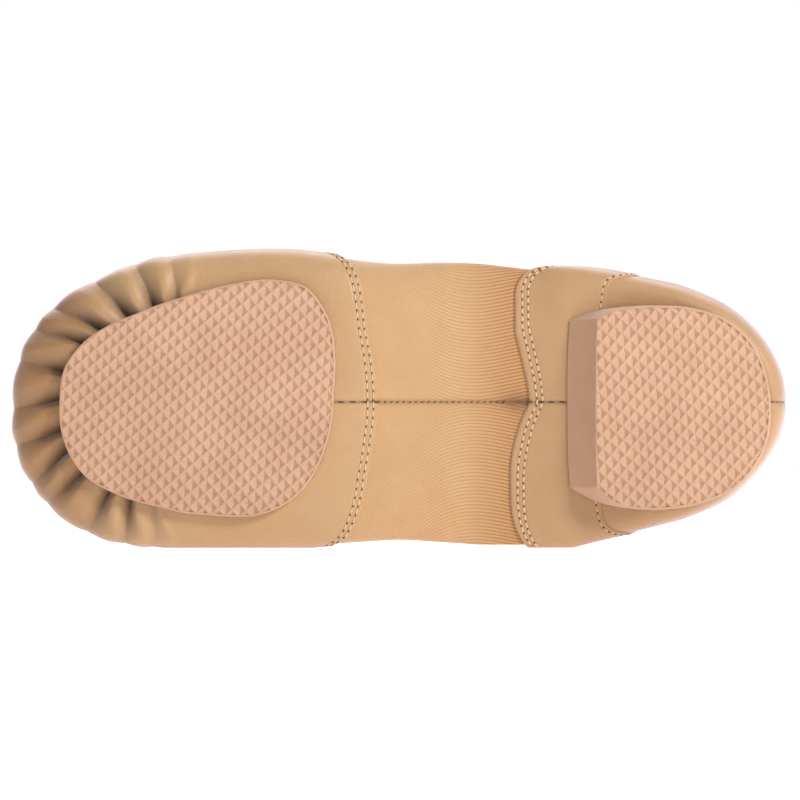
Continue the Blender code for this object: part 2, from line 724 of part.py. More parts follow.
def place_on_side(root):
    """Toe to -X, tread to -Y, outer side up, inner side on the floor, centred on the origin."""
    turn = Matrix(((-1, 0, 0), (0, 0, 1), (0, 1, 0))).to_4x4()
    root.matrix_world = turn
    bpy.context.view_layer.update()
    low = np.full(3, np.inf)
    high = np.full(3, -np.inf)
    for obj in root.children:
        corners = np.array([turn @ vert.co for vert in obj.data.vertices])
        low = np.minimum(low, corners.min(axis=0))
        high = np.maximum(high, corners.max(axis=0))
    move = (-(low[0] + high[0]) / 2, -(low[1] + high[1]) / 2, -low[2])
    root.matrix_world = Matrix.Translation(move) @ turn


def main():
    for obj in list(bpy.data.objects):
        bpy.data.objects.remove(obj)
    collection = bpy.data.collections.new("jazz_shoe")
    bpy.context.scene.collection.children.link(collection)
    root = bpy.data.objects.new("shoe_frame", None)
    collection.objects.link(root)
    make_upper(root)
    make_insole(root)
    make_pad(root)
    make_heel(root)
    make_binding(root)
    place_on_side(root)
    bpy.context.view_layer.update()


main()
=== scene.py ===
# %% [markdown]
# A left jazz shoe lies on its inner side, with its sole to the camera. It has a gathered leather toe,
# a ribbed knit arch, heel leather in two pieces, and a split sole: a forefoot pad and a moulded heel.
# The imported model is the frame. Every piece here follows the same last as its solids do.

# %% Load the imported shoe
import math

import bmesh
import bpy
import numpy as np
from mathutils import Matrix, Vector
from mathutils.bvhtree import BVHTree


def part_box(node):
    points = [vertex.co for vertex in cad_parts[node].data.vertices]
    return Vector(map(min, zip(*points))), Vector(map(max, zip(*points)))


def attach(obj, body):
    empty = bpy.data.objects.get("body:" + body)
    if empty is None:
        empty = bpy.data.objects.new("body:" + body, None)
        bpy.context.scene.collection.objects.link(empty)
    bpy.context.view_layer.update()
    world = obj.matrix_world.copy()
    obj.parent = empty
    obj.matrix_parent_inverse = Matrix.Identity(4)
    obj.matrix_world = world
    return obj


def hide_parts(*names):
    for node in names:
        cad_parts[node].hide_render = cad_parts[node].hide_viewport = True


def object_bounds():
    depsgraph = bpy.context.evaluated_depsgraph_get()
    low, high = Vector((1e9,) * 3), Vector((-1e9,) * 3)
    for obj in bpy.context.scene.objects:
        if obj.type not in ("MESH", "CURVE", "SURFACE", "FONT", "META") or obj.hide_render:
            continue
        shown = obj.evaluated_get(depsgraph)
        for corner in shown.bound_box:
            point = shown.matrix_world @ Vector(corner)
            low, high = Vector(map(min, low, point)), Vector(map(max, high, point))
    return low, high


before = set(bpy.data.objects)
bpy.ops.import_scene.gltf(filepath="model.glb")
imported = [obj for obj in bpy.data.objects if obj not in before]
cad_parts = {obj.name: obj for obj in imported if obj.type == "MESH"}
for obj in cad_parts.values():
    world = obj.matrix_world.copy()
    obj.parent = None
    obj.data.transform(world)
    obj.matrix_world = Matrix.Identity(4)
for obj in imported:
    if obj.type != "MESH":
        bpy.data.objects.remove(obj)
cad_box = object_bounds()
print("packed model, mm:", [round(side * 1000, 1) for side in cad_box[1] - cad_box[0]])

# %% [markdown]
# A shoemaker starts from a last. Here it is a row of cross sections along the foot, with a fan of
# sections round the toe and another round the heel. The tables hold shares of a few real sizes, so
# that the last can be read and changed by hand. They are the solid model's tables, apart from two:
# the topline is simpler here, and the counter's seam is drawn closer to the photo.

# %% Sizes of the shoe, in metres
SHOE_LENGTH = 0.240
HALF_BALL = 0.0464
INSTEP_HEIGHT = 0.0600
COLLAR_HEIGHT = 0.0600
HEEL_HEIGHT = 0.0100
PAD_THICKNESS = 0.0030
TOE_SPRING = 0.0050
LEATHER_WALL = 0.0020
KNIT_INSET = 0.0009
SEAT_GAP = 0.0004
BREAST_SLANT = 0.0082
REST_WIDTH = HALF_BALL * 0.972
PAD_LEVEL = PAD_THICKNESS + SEAT_GAP
HEEL_LEVEL = HEEL_HEIGHT + SEAT_GAP
UNDER_SQUARENESS = 2.6

# Levels round a section, from the centre of the underside at 0 to the ridge at 1.
FLAT_END = 0.25
WIDEST = 0.5

# Places on the shoe in shares of its length, counted from the heel.
HEEL_POLE = 0.152
THROAT = 0.545
TOE_POLE = 0.823

# %% Tables of the last
WIDTH_COLUMNS = ("station", "outer", "inner")
WIDTHS = (
    (0.152, 0.808, 0.818),
    (0.191, 0.848, 0.868),
    (0.243, 0.894, 0.930),
    (0.294, 0.908, 0.990),
    (0.325, 0.902, 1.012),
    (0.360, 0.920, 1.000),
    (0.397, 0.941, 0.975),
    (0.449, 0.948, 0.955),
    (0.501, 0.941, 0.941),
    (0.552, 0.961, 0.955),
    (0.604, 1.001, 0.970),
    (0.655, 1.021, 0.985),
    (0.707, 1.015, 0.998),
    (0.759, 0.995, 0.990),
    (0.823, 0.957, 0.967),
)

# Radii of the fans round the two poles, in shares of the ellipse that each would be.
FAN_COLUMNS = ("angle", "toe_outer", "toe_inner", "heel")
FANS = (
    (0, 1.000, 1.000, 1.000),
    (15, 1.000, 1.025, 0.992),
    (30, 0.990, 1.035, 0.970),
    (45, 0.968, 1.030, 0.953),
    (60, 0.945, 1.018, 0.947),
    (75, 0.947, 1.003, 0.955),
    (90, 1.000, 1.000, 1.000),
)

# Form of each cross section: lift of the underside, share of the toe spring, flat share of the
# underside, heights of the widest point and the ridge, squareness of the shoulder, and the level
# where the opening under the pad or the heel ends.
FORM_COLUMNS = ("station", "lift", "spring", "flat", "widest", "ridge", "shoulder", "open")
FORMS = (
    (0.000, 1.00, 0.00, 0.84, 0.400, 1.27, 2.30, 0.160),
    (0.152, 1.00, 0.00, 0.84, 0.360, 1.30, 2.10, 0.155),
    (0.200, 1.00, 0.00, 0.84, 0.325, 1.30, 1.95, 0.140),
    (0.243, 1.00, 0.00, 0.82, 0.305, 1.30, 1.80, 0.000),
    (0.283, 1.00, 0.00, 0.76, 0.262, 1.29, 1.75, 0.000),
    (0.333, 1.20, 0.00, 0.58, 0.255, 1.26, 1.70, 0.000),
    (0.397, 1.25, 0.00, 0.42, 0.270, 1.18, 1.70, 0.000),
    (0.449, 0.95, 0.00, 0.38, 0.268, 1.10, 1.75, 0.000),
    (0.501, 0.50, 0.00, 0.42, 0.270, 1.03, 1.80, 0.000),
    (0.552, 0.12, 0.00, 0.52, 0.245, 0.96, 1.85, 0.000),
    (0.604, 0.00, 0.00, 0.60, 0.235, 0.87, 1.95, 0.000),
    (0.640, 0.00, 0.00, 0.62, 0.228, 0.80, 2.00, 0.000),
    (0.700, 0.00, 0.00, 0.64, 0.222, 0.71, 2.05, 0.185),
    (0.759, 0.00, 0.02, 0.64, 0.220, 0.63, 2.10, 0.190),
    (0.823, 0.00, 0.12, 0.64, 0.225, 0.55, 2.15, 0.190),
    (0.900, 0.00, 0.45, 0.62, 0.245, 0.50, 2.20, 0.185),
    (1.000, 0.00, 1.00, 0.60, 0.285, 0.45, 2.20, 0.175),
)

# Height of the topline, up to the throat where it meets the ridge.
TOPLINE_COLUMNS = ("station", "height")
TOPLINE = (
    (0.000, 1.000),
    (0.080, 0.965),
    (0.152, 0.915),
    (0.250, 0.850),
    (0.330, 0.830),
    (0.400, 0.855),
    (0.460, 0.900),
    (0.510, 0.945),
    (0.545, 0.970),
)

# Seams across the shoe, against the level round the section: 0 is the centre of the underside, 0.5
# the widest point and 1 the ridge.
SEAM_COLUMNS = (
    "level", "counter_outer", "band_outer", "throat_outer", "vamp_outer",
    "counter_inner", "band_inner", "throat_inner", "vamp_inner",
)
SEAMS = (
    (0.00, 0.236, 0.333, 0.440, 0.529, 0.236, 0.333, 0.440, 0.529),
    (0.06, 0.236, 0.336, 0.441, 0.530, 0.236, 0.345, 0.442, 0.530),
    (0.12, 0.236, 0.341, 0.442, 0.532, 0.236, 0.352, 0.445, 0.533),
    (0.19, 0.236, 0.347, 0.445, 0.536, 0.242, 0.357, 0.448, 0.537),
    (0.26, 0.232, 0.352, 0.449, 0.542, 0.237, 0.358, 0.451, 0.543),
    (0.33, 0.225, 0.352, 0.452, 0.548, 0.228, 0.354, 0.455, 0.553),
    (0.40, 0.207, 0.343, 0.456, 0.558, 0.215, 0.342, 0.458, 0.566),
    (0.46, 0.196, 0.329, 0.462, 0.571, 0.203, 0.329, 0.462, 0.582),
    (0.55, 0.189, 0.312, 0.475, 0.590, 0.192, 0.312, 0.475, 0.600),
    (0.70, 0.182, 0.300, 0.505, 0.606, 0.182, 0.300, 0.505, 0.612),
    (0.85, 0.176, 0.295, 0.532, 0.614, 0.176, 0.295, 0.532, 0.617),
    (1.00, 0.174, 0.292, 0.545, 0.618, 0.174, 0.292, 0.545, 0.618),
)

# %% [markdown]
# The split sole has two outlines. The pad's is a radius round its own centre, and the heel's is a
# closed row of points with two corners at the breast, its slanted front face.

# %% Outlines of the pad and the heel
PAD_CENTRE = (0.759, 0.013)
PAD_OUTLINE = (
    (0, 0.928),
    (13, 0.921),
    (25, 0.868),
    (39, 0.784),
    (53, 0.714),
    (73, 0.688),
    (94, 0.734),
    (110, 0.834),
    (122, 0.945),
    (136, 1.041),
    (148, 1.020),
    (163, 0.950),
    (180, 0.898),
    (200, 0.900),
    (218, 0.914),
    (231, 0.901),
    (244, 0.858),
    (256, 0.800),
    (271, 0.761),
    (292, 0.764),
    (310, 0.828),
    (327, 0.914),
    (346, 0.940),
)
HEEL_CENTRE = (0.160, -0.040)
SEAT_FRONT = 0.283
SLANT_START = 0.200
HEEL_OUTLINE = (
    (0.281, 0.550),
    (0.250, 0.607),
    (0.214, 0.634),
    (0.172, 0.643),
    (0.132, 0.632),
    (0.094, 0.582),
    (0.063, 0.485),
    (0.041, 0.345),
    (0.028, 0.170),
    (0.023, -0.020),
    (0.025, -0.200),
    (0.035, -0.360),
    (0.056, -0.515),
    (0.084, -0.618),
    (0.121, -0.688),
    (0.168, -0.718),
    (0.214, -0.704),
    (0.247, -0.664),
    (0.281, -0.572),
    (0.284, -0.280),
    (0.284, 0.260),
)
HEEL_CORNERS = (0, 18)

# %% [markdown]
# A few helpers read the tables. Each curve passes through its rows without overshoot, because an
# overshoot would leave a hollow ring beside every flat stretch.

# %% Smooth curves through the tables
def curve_through(knots, values, at):
    """Smooth curve through a row of knots, without overshoot and held level beyond both ends."""
    knots = np.asarray(knots, float)
    values = np.asarray(values, float)
    secants = np.diff(values) / np.diff(knots)
    slopes = np.gradient(values, knots)
    slopes[1:-1] = np.where(secants[1:] * secants[:-1] > 0, slopes[1:-1], 0.0)
    at = np.clip(at, knots[0], knots[-1])
    row = np.clip(np.searchsorted(knots, at, side="right") - 1, 0, len(knots) - 2)
    span = knots[row + 1] - knots[row]
    t = (at - knots[row]) / span
    start = values[row] * (1 + 2 * t) * (1 - t) ** 2 + slopes[row] * span * t * (1 - t) ** 2
    end = values[row + 1] * t * t * (3 - 2 * t) + slopes[row + 1] * span * t * t * (t - 1)
    return start + end


def table(rows, columns, name, at):
    """A named column of a table, against its first column."""
    return curve_through([row[0] for row in rows], [row[columns.index(name)] for row in rows], at)


def sided(rows, columns, start, side, at):
    """The outer or the inner column of a table, for side 1 (outer) or -1 (inner)."""
    outer, inner = (table(rows, columns, start + end, at) for end in ("outer", "inner"))
    return np.where(side > 0, outer, inner)


def round_table(rows, angle):
    """A two-column table that runs once round a closed outline, in degrees."""
    first, last = rows[0], rows[-1]
    closed = ((last[0] - 360, last[1]),) + rows + ((first[0] + 360, first[1]),)
    return curve_through([row[0] for row in closed], [row[1] for row in closed], np.mod(angle, 360))


def blend(t):
    """Smooth step from 0 to 1."""
    t = np.clip(t, 0.0, 1.0)
    return t * t * (3 - 2 * t)


def form(name, station):
    """A value of the cross section's form at a station."""
    return table(FORMS, FORM_COLUMNS, name, station)


# %% The surface of the last
def sole_level(along):
    """Height of the upper's underside above the ground."""
    station = along / SHOE_LENGTH
    lift = form("lift", station) * (HEEL_LEVEL - PAD_LEVEL)
    return PAD_LEVEL + lift + form("spring", station) * TOE_SPRING


def half_width(side, station):
    """Half the width of the outline on one side."""
    return HALF_BALL * sided(WIDTHS, WIDTH_COLUMNS, "", side, station)


def column_of(side, station, angle):
    """Pole, direction in plan and length of a radial section."""
    toe = station > THROAT
    heel = table(FANS, FAN_COLUMNS, "heel", angle)
    share = np.where(toe, sided(FANS, FAN_COLUMNS, "toe_", side, angle), heel)
    pole = station * SHOE_LENGTH
    run = share * np.where(toe, SHOE_LENGTH - pole, -pole) * np.cos(np.radians(angle))
    out = share * half_width(side, station) * np.sin(np.radians(angle)) * side
    radius = np.hypot(run, out)
    return pole, run / radius, out / radius, radius


def on_last(side, station, angle, level, inset):
    """Points of the smooth upper at a level round the section, inset from the leather's outside."""
    side, station, angle, level, inset = np.broadcast_arrays(side, station, angle, level, inset)
    pole, along_part, across_part, radius = column_of(side, station, angle)
    rim = (pole + along_part * radius) / SHOE_LENGTH
    flat = form("flat", rim)
    widest = INSTEP_HEIGHT * form("widest", rim)
    ridge = INSTEP_HEIGHT * form("ridge", station) - inset
    power = 2 / form("shoulder", rim)
    under_power = 2 / UNDER_SQUARENESS
    low_turn = np.clip((level - FLAT_END) / (WIDEST - FLAT_END), 0, 1) * np.pi / 2
    high_turn = np.clip((level - WIDEST) / (1 - WIDEST), 0, 1) * np.pi / 2
    low_out = flat + (1 - flat) * np.sin(low_turn) ** under_power
    low_reach = np.where(level < FLAT_END, flat * level / FLAT_END, low_out)
    high_reach = np.clip(np.cos(high_turn), 0, None) ** power
    distance = (radius - inset) * np.where(level <= WIDEST, low_reach, high_reach)
    along = pole + along_part * distance
    floor = sole_level(along) + inset
    low_up = 1 - np.clip(np.cos(low_turn), 0, None) ** under_power
    high_up = np.sin(high_turn) ** power
    low, high = floor + (widest - floor) * low_up, widest + (ridge - widest) * high_up
    height = np.where(level <= WIDEST, low, high)
    across = np.maximum(across_part * distance, inset - REST_WIDTH)
    return np.stack([along, across, height], axis=-1)


def under_height(along, across, inset):
    """Height of the upper's underside over a place in plan."""
    side = np.where(across >= 0, 1, -1)
    station = np.clip(along / SHOE_LENGTH, HEEL_POLE, TOE_POLE)
    pole = station * SHOE_LENGTH
    reach = np.where(station > THROAT, SHOE_LENGTH - pole, -pole)
    angle = np.degrees(np.arctan2(np.abs(across) / half_width(side, station), (along - pole) / reach))
    pole, along_part, across_part, radius = column_of(side, station, angle)
    rim = (pole + along_part * radius) / SHOE_LENGTH
    flat = form("flat", rim)
    share = np.hypot(along - pole, across) / (radius - inset)
    out = np.clip((share - flat) / (1 - flat), 0, 1)
    up = 1 - (1 - out ** UNDER_SQUARENESS) ** (1 / UNDER_SQUARENESS)
    floor = sole_level(along) + inset
    return floor + (INSTEP_HEIGHT * form("widest", rim) - floor) * up


def end_level(side, station, angle):
    """Level round the section where the upper ends: 1 is the ridge, in front of the throat."""
    pole, along_part, _, radius = column_of(side, station, angle)
    rim = (pole + along_part * radius) / SHOE_LENGTH
    widest = INSTEP_HEIGHT * form("widest", rim)
    ridge = INSTEP_HEIGHT * form("ridge", station)
    line = COLLAR_HEIGHT * table(TOPLINE, TOPLINE_COLUMNS, "height", rim)
    rise = np.clip((line - widest) / (ridge - widest), 0, 1)
    turn = np.arcsin(rise ** (form("shoulder", rim) / 2))
    return np.where(station >= THROAT - 1e-6, 1.0, WIDEST + turn / np.pi)


# %% [markdown]
# The shoe is worked out upright and then laid down: toe to the left, tread to the camera, outer side
# up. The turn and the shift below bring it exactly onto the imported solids.

# %% From the upright shoe to its place in the frame
TREAD_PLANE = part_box("heel")[0][1]
BACK_PLACE = cad_box[1][0]


def to_frame(points):
    """Points of the upright shoe (along, across, up) as points of the frame."""
    points = np.asarray(points, float)
    x = BACK_PLACE - points[..., 0]
    y = TREAD_PLANE + points[..., 2]
    z = REST_WIDTH + points[..., 1]
    return np.stack([x, y, z], axis=-1)


print("tread plane at y and heel back at x, mm:", [round(1000 * at, 2) for at in (TREAD_PLANE, BACK_PLACE)])

# %% [markdown]
# Leather, knit and rubber are all procedural. One function adds any node, for materials and for
# Geometry Nodes. Shader maths is easier to follow as Python, so one small class wraps a socket and
# turns each operator into a Math node.

# %% Nodes and shader maths as Python
def plug(tree, value, slot):
    """Link an output to a socket, or write a plain value on it."""
    if isinstance(value, Wire):
        value = value.socket
    if isinstance(value, bpy.types.NodeSocket):
        tree.links.new(value, slot)
    elif isinstance(value, tuple) and slot.type == "RGBA":
        slot.default_value = value + (1.0,)
    else:
        slot.default_value = value


def add_node(tree, kind, settings=None, sockets=None, output=0):
    """Add a node: first its settings, then a value, a link or a list of links for each socket."""
    node = tree.nodes.new(kind)
    for setting, value in (settings or {}).items():
        setattr(node, setting, value)
    for socket, value in (sockets or {}).items():
        for part in value if isinstance(value, list) else [value]:
            plug(tree, part, node.inputs[socket])
    return node.outputs[output]


class Wire:
    """An output in a material, on which Python's operators add Math nodes."""

    def __init__(self, tree, socket):
        self.tree = tree
        self.socket = socket

    def maths(self, operation, *values):
        sockets = dict(enumerate(values))
        return Wire(self.tree, add_node(self.tree, "ShaderNodeMath", {"operation": operation}, sockets))

    def __add__(self, other):
        return self.maths("ADD", self, other)

    def __mul__(self, other):
        return self.maths("MULTIPLY", self, other)

    __radd__ = __add__
    __rmul__ = __mul__

    def wave(self):
        """A sine wave between 0 and 1."""
        return self.maths("SINE", self) * 0.5 + 0.5

    def step(self, low, high):
        """0 below one value and 1 above the other, smooth between them."""
        settings = {"interpolation_type": "SMOOTHSTEP"}
        sockets = {"Value": self, "From Min": low, "From Max": high}
        return Wire(self.tree, add_node(self.tree, "ShaderNodeMapRange", settings, sockets, "Result"))


class Finish:
    """A material with a Principled shader."""

    def __init__(self, name, **plain):
        self.material = bpy.data.materials.new(name)
        self.material.use_nodes = True
        self.tree = self.material.node_tree
        self.shader = self.tree.nodes["Principled BSDF"]
        for socket, value in plain.items():
            self.set(socket.replace("_", " "), value)

    def node(self, kind, settings=None, sockets=None, output=0):
        return Wire(self.tree, add_node(self.tree, kind, settings, sockets, output))

    def set(self, socket, value):
        plug(self.tree, value, self.shader.inputs[socket])

    def texture(self, kind, **sockets):
        """A texture in the object's own space, in metres."""
        place = self.node("ShaderNodeTexCoord", output="Object")
        return self.node(kind, sockets={"Vector": place, **sockets})

    def noise(self, scale, detail, roughness=0.6):
        return self.texture("ShaderNodeTexNoise", Scale=scale, Detail=detail, Roughness=roughness)

    def mix(self, share, first, second):
        return self.node("ShaderNodeMix", {"data_type": "RGBA"}, {0: share, 6: first, 7: second}, 2)

    def mottled(self, noise, deep, pale):
        """A colour that wanders between two colours with a noise."""
        return self.mix(noise.step(0.3, 0.7), tint(*deep), tint(*pale))

    def mark(self, name):
        return self.node("ShaderNodeAttribute", {"attribute_name": name}, output="Fac")

    def relief(self, height, depth):
        """Bump by a height between 0 and 1, with its real depth in metres."""
        sockets = {"Height": height, "Distance": depth, "Strength": 1.0}
        self.set("Normal", self.node("ShaderNodeBump", sockets=sockets))


def tint(red, green, blue):
    """A colour as seen on a screen, in linear light for the shader."""
    parts = []
    for part in (red, green, blue):
        share = part / 255
        parts.append(share / 12.92 if share <= 0.04045 else ((share + 0.055) / 1.055) ** 2.4)
    return tuple(parts)


# %% [markdown]
# The toe and the heel leather come from one hide: tan with a slight pink bloom where the light grazes
# it and a fine grain. Painted shade darkens the gathers and the seams, and another painted shade darkens
# the toe's tip. Both painted shades come with the mesh as attributes, so they stay in the folds.

# %% Leather
def make_leather(name, deep, pale, rubbed, painted_shade_colour):
    """Soft leather: mottled colour, fine grain, painted shade in the creases and at the toe's tip, and a
    soft bloom at the edges.
    """
    skin = Finish(name, Sheen_Weight=1.0, Sheen_Roughness=0.44, Coat_Roughness=0.42, Coat_Weight=0.3)
    skin.set("Sheen Tint", tint(240, 226, 236))
    colour = skin.mottled(skin.noise(60, 4), deep, pale)
    # Painted shade: the toe's tip is darkened where it turns away from the light.
    colour = skin.mix(skin.mark("rubbed"), colour, tint(*rubbed))
    # Painted shade: the leather is darkened in the gathers and along the seams, where shade falls.
    crease = skin.mark("crease")
    colour = skin.mix(crease, colour, tint(*painted_shade_colour))
    skin.set("Base Color", colour)
    grain = skin.texture("ShaderNodeTexVoronoi", Scale=1100)
    fine = skin.noise(2600, 2)
    wrinkle = skin.noise(420, 4, 0.62)
    skin.relief(grain * 0.3 + fine * 0.3 + wrinkle * (crease * 2.4 + 0.6), 0.00020)
    skin.set("Roughness", 0.44 + fine * 0.16)
    return skin.material


LEATHER = make_leather("tan_leather", (187, 147, 101), (192, 153, 108), (160, 116, 68), (46, 28, 12))
HEEL_LEATHER = make_leather("heel_leather", (180, 140, 96), (186, 146, 103), (160, 116, 68), (46, 28, 12))

# %% [markdown]
# The arch is a rib knit. Its ribs follow a phase that the mesh carries in its UV map, so they lean
# towards the centre seam near the toe and lie level near the heel, as the stretched sock does.

# %% Knit, rubber, cloth and thread
def make_knit():
    """Rib knit: rows of rounded ribs across the phase in the UV map, with tiny loops along them."""
    knit = Finish("rib_knit", Roughness=0.8, Sheen_Weight=1.0, Sheen_Roughness=0.55)
    knit.set("Sheen Tint", tint(250, 228, 215))
    place = knit.node("ShaderNodeUVMap", {"uv_map": "girth"})
    phase, course = (knit.node("ShaderNodeSeparateXYZ", sockets={0: place}, output=axis) for axis in "XY")
    turn = 2 * math.pi
    wave = (phase * turn).wave()
    loops = (course * turn + wave * 2.5).wave()
    # Painted shade: towards the heel the yarn and the grooves between ribs are darker, where the knit turns
    # away from the light.
    slack = knit.mark("slack")
    yarn = knit.mottled(knit.noise(90, 4), (193, 153, 105), (199, 160, 114))
    yarn = knit.mix(slack, yarn, tint(197, 145, 91))
    shaded = knit.mix(slack, tint(187, 141, 94), tint(160, 110, 65))
    rib = wave.step(0.02, 0.5)
    # Painted shade: the knit is darkened in its fold and along its centre seam.
    knit.set("Base Color", knit.mix(knit.mark("crease"), knit.mix(rib, shaded, yarn), tint(112, 70, 38)))
    knit.relief((rib * 0.8 + loops * rib * 0.2) * (slack * 0.6 + 0.4), 0.00015)
    return knit.material


def make_rubber(name, deep, pale):
    """Matt pinkish beige rubber with a fine sandy bloom."""
    rubber = Finish(name, Roughness=0.72, Sheen_Weight=0.15)
    rubber.set("Base Color", rubber.mottled(rubber.noise(70, 3, 0.5), deep, pale))
    rubber.relief(rubber.noise(1500, 3), 0.00006)
    return rubber.material


def make_cloth(name, deep, pale, depth, sheen=0.4):
    """Plain brushed cloth."""
    cloth = Finish(name, Roughness=0.9, Sheen_Weight=sheen)
    speck = cloth.noise(1800, 3)
    cloth.set("Base Color", cloth.mottled(speck, deep, pale))
    cloth.relief(speck, depth)
    return cloth.material


KNIT = make_knit()
RUBBER = make_rubber("beige_rubber", (194, 153, 124), (201, 161, 132))
LINING = make_cloth("lining_cloth", (205, 180, 150), (220, 198, 170), 0.00012)
INSOLE = make_cloth("insole_cloth", (198, 168, 134), (214, 186, 152), 0.00015)
TAPE = make_cloth("binding_tape", (180, 128, 84), (194, 142, 96), 0.00010)
THREAD = make_cloth("cream_thread", (212, 180, 142), (222, 192, 156), 0.00003, 0.2)
SHADE = make_cloth("brown_thread", (86, 54, 30), (108, 70, 40), 0.00003, 0.05)
# Painted shade: dark beads stand for the shade inside the needle holes.
HOLE_SHADE = make_cloth("needle_hole_shade", (92, 58, 32), (106, 70, 42), 0.00001, 0.0)
print("materials:", [material.name for material in bpy.data.materials])

# %% [markdown]
# The upper is a tube of patches. Rows run round the section, from the ridge down the outer side,
# under the foot and up the inner side. Columns run along the shoe, with a fan at either end.

# %% Grids round the shoe
def girth(levels):
    """Sides and levels of the rows once round a section, from ridge to ridge."""
    levels = np.asarray(levels, float)
    sides = np.concatenate([np.ones(len(levels)), -np.ones(len(levels) - 1)])
    return sides, np.concatenate([levels[::-1], levels[1:]])


def seam(name, sides, levels):
    """Station of a seam at a level round the section."""
    return sided(SEAMS, SEAM_COLUMNS, name + "_", sides, levels)


def spaced(start, end, step):
    """Even steps from start up to end, without the end."""
    return np.linspace(start, end, max(1, round((end - start) / step)), endpoint=False)


def patch(rows, columns, station_at, angles=90.0):
    """Sides, stations and levels of a grid whose columns all end on the topline or the ridge."""
    sides, levels = girth(rows)
    sides = np.broadcast_to(sides, (columns, len(sides)))
    high = np.ones(sides.shape)
    for _ in range(TRIM_ROUNDS):
        high = end_level(sides, station_at(sides, high), angles)
    stretch = (high - WIDEST) / (1 - WIDEST)
    levels = np.where(levels > WIDEST, WIDEST + (levels - WIDEST) * stretch, levels)
    return sides, station_at(sides, levels), levels


def stacked(*parts):
    """Parts joined into one column, to spread over the rows of a grid."""
    return np.concatenate(parts)[:, None]


def grid_faces(columns, rows, outwards=True):
    """Quads of a grid of points, column by column."""
    faces = []
    for column in range(columns - 1):
        for row in range(rows - 1):
            a, b = column * rows + row, (column + 1) * rows + row
            quad = (a, b, b + 1, a + 1)
            faces.append(quad if outwards else quad[::-1])
    return faces


# Rows: fine at the centre seam and round the toe's turn, wider over the instep.
CENTRE_ROWS = (0.0, 0.0022, 0.0045, 0.008, 0.013, 0.02, 0.03, 0.045, 0.065, 0.09, 0.12)
LEATHER_ROWS = np.concatenate([
    CENTRE_ROWS, spaced(0.145, 0.25, 0.0048), spaced(0.25, 0.5, 0.0058), spaced(0.5, 1.0, 0.013), [1.0],
])
KNIT_ROWS = np.concatenate([CENTRE_ROWS, spaced(0.145, 0.5, 0.0105), spaced(0.5, 1.0, 0.0125), [1.0]])

# The topline's height depends on the place, so trimming a column to it takes some rounds.
TRIM_ROUNDS = 10

# A cut leather edge, and how fine the grid is from there to a distance behind it.
CUT_COLUMNS = ("distance", "drop")
CUT_EDGE = ((0.0, 0.00105), (0.00004, 0.00055), (0.00016, 0.00024), (0.00036, 0.00008), (0.0007, 0.0))
FACE_START = 0.0011
FACE_STEP = 0.0004


def cut_column(name):
    """A named column of the cut edge's table."""
    return [row[CUT_COLUMNS.index(name)] for row in CUT_EDGE]


def near_edge(reach):
    """Distances of the grid's columns beside a cut edge."""
    return np.concatenate([cut_column("distance"), spaced(FACE_START, reach, FACE_STEP)])


def edge_drop(distance):
    """How far the leather drops below its face beside a cut edge."""
    return np.interp(distance, cut_column("distance"), cut_column("drop"))


print("leather rows:", 2 * len(LEATHER_ROWS) - 1, "knit rows:", 2 * len(KNIT_ROWS) - 1)

# %% [markdown]
# The toe is lasted by hand: the leather's edge is drawn in under the forefoot and gathered into folds.
# Each fold is a lobe that laps over its neighbour: a slope on one side, a steep lip on the other. It
# starts under the pad and dies out above the widest line. The table goes from the outer side round
# the tip to the inner side, in degrees, with the side that the lip is on.

# %% Gathers of the toe
FOLD_DEEP = 0.0047
FOLD_SLOPE = 0.0056
FOLD_LEAD = 0.5
FOLD_TOP = 1.75
FOLD_REACH = 1.15

# Width of the lip, in widths of the slope, at the pad and at the outline.
LIP_AT_PAD = 0.38
LIP_AT_OUTLINE = 1.1

# How round the slope and the lip are, and how their shade follows their depth.
SLOPE_POWER = 1.9
LIP_POWER = 1.5
SLOPE_SHADE = 1.2
LIP_SHADE = 0.6

# Share of the depth that is lost towards the outline, and how soon.
OUTWARD_LOSS = 0.68
OUTWARD_PACE = 1.05

# The lobe swells a little behind each lip.
LOBE_RISE = 0.0007
LOBE_SHIFT = 0.25
LOBE_WIDTH = 0.35
LOBE_LEAD = 0.3

# Columns: angle at the pad's edge, angle at the outline, depth, width and the lip's side.
GATHERS = (
    (105, 98, 0.40, 0.80, 1),
    (95, 82, 0.95, 1.10, 1),
    (79, 61, 1.05, 1.25, 1),
    (59, 40, 1.05, 1.20, 1),
    (42, 30, 0.95, 1.05, -1),
    (20, 17, 0.90, 1.05, -1),
    (2, -4, 0.90, 1.00, -1),
    (-18, -18, 0.95, 0.95, -1),
    (-31, -35, 1.05, 0.90, -1),
    (-48, -44, 1.05, 0.90, -1),
    (-67, -64, 1.00, 0.95, -1),
    (-80, -80, 0.90, 0.80, -1),
    (-93, -92, 0.25, 0.70, -1),
)


def pad_edge(angle):
    """Distance of the pad's edge from the toe pole."""
    turn = np.arange(0, 360, 3)
    reach = HALF_BALL * round_table(PAD_OUTLINE, turn)
    run = (PAD_CENTRE[0] - TOE_POLE) * SHOE_LENGTH + reach * np.cos(np.radians(turn))
    across = PAD_CENTRE[1] * HALF_BALL + reach * np.sin(np.radians(turn))
    return np.interp(angle, np.degrees(np.arctan2(across, run)), np.hypot(run, across), period=360)


def bell(distance, width):
    """1 at distance 0, falling smoothly to nothing on both sides."""
    return np.exp(-(distance / width) ** 2)


def widest_height(points):
    """Height of the section's widest place, beside points of the upright shoe."""
    return INSTEP_HEIGHT * form("widest", points[..., 0] / SHOE_LENGTH)


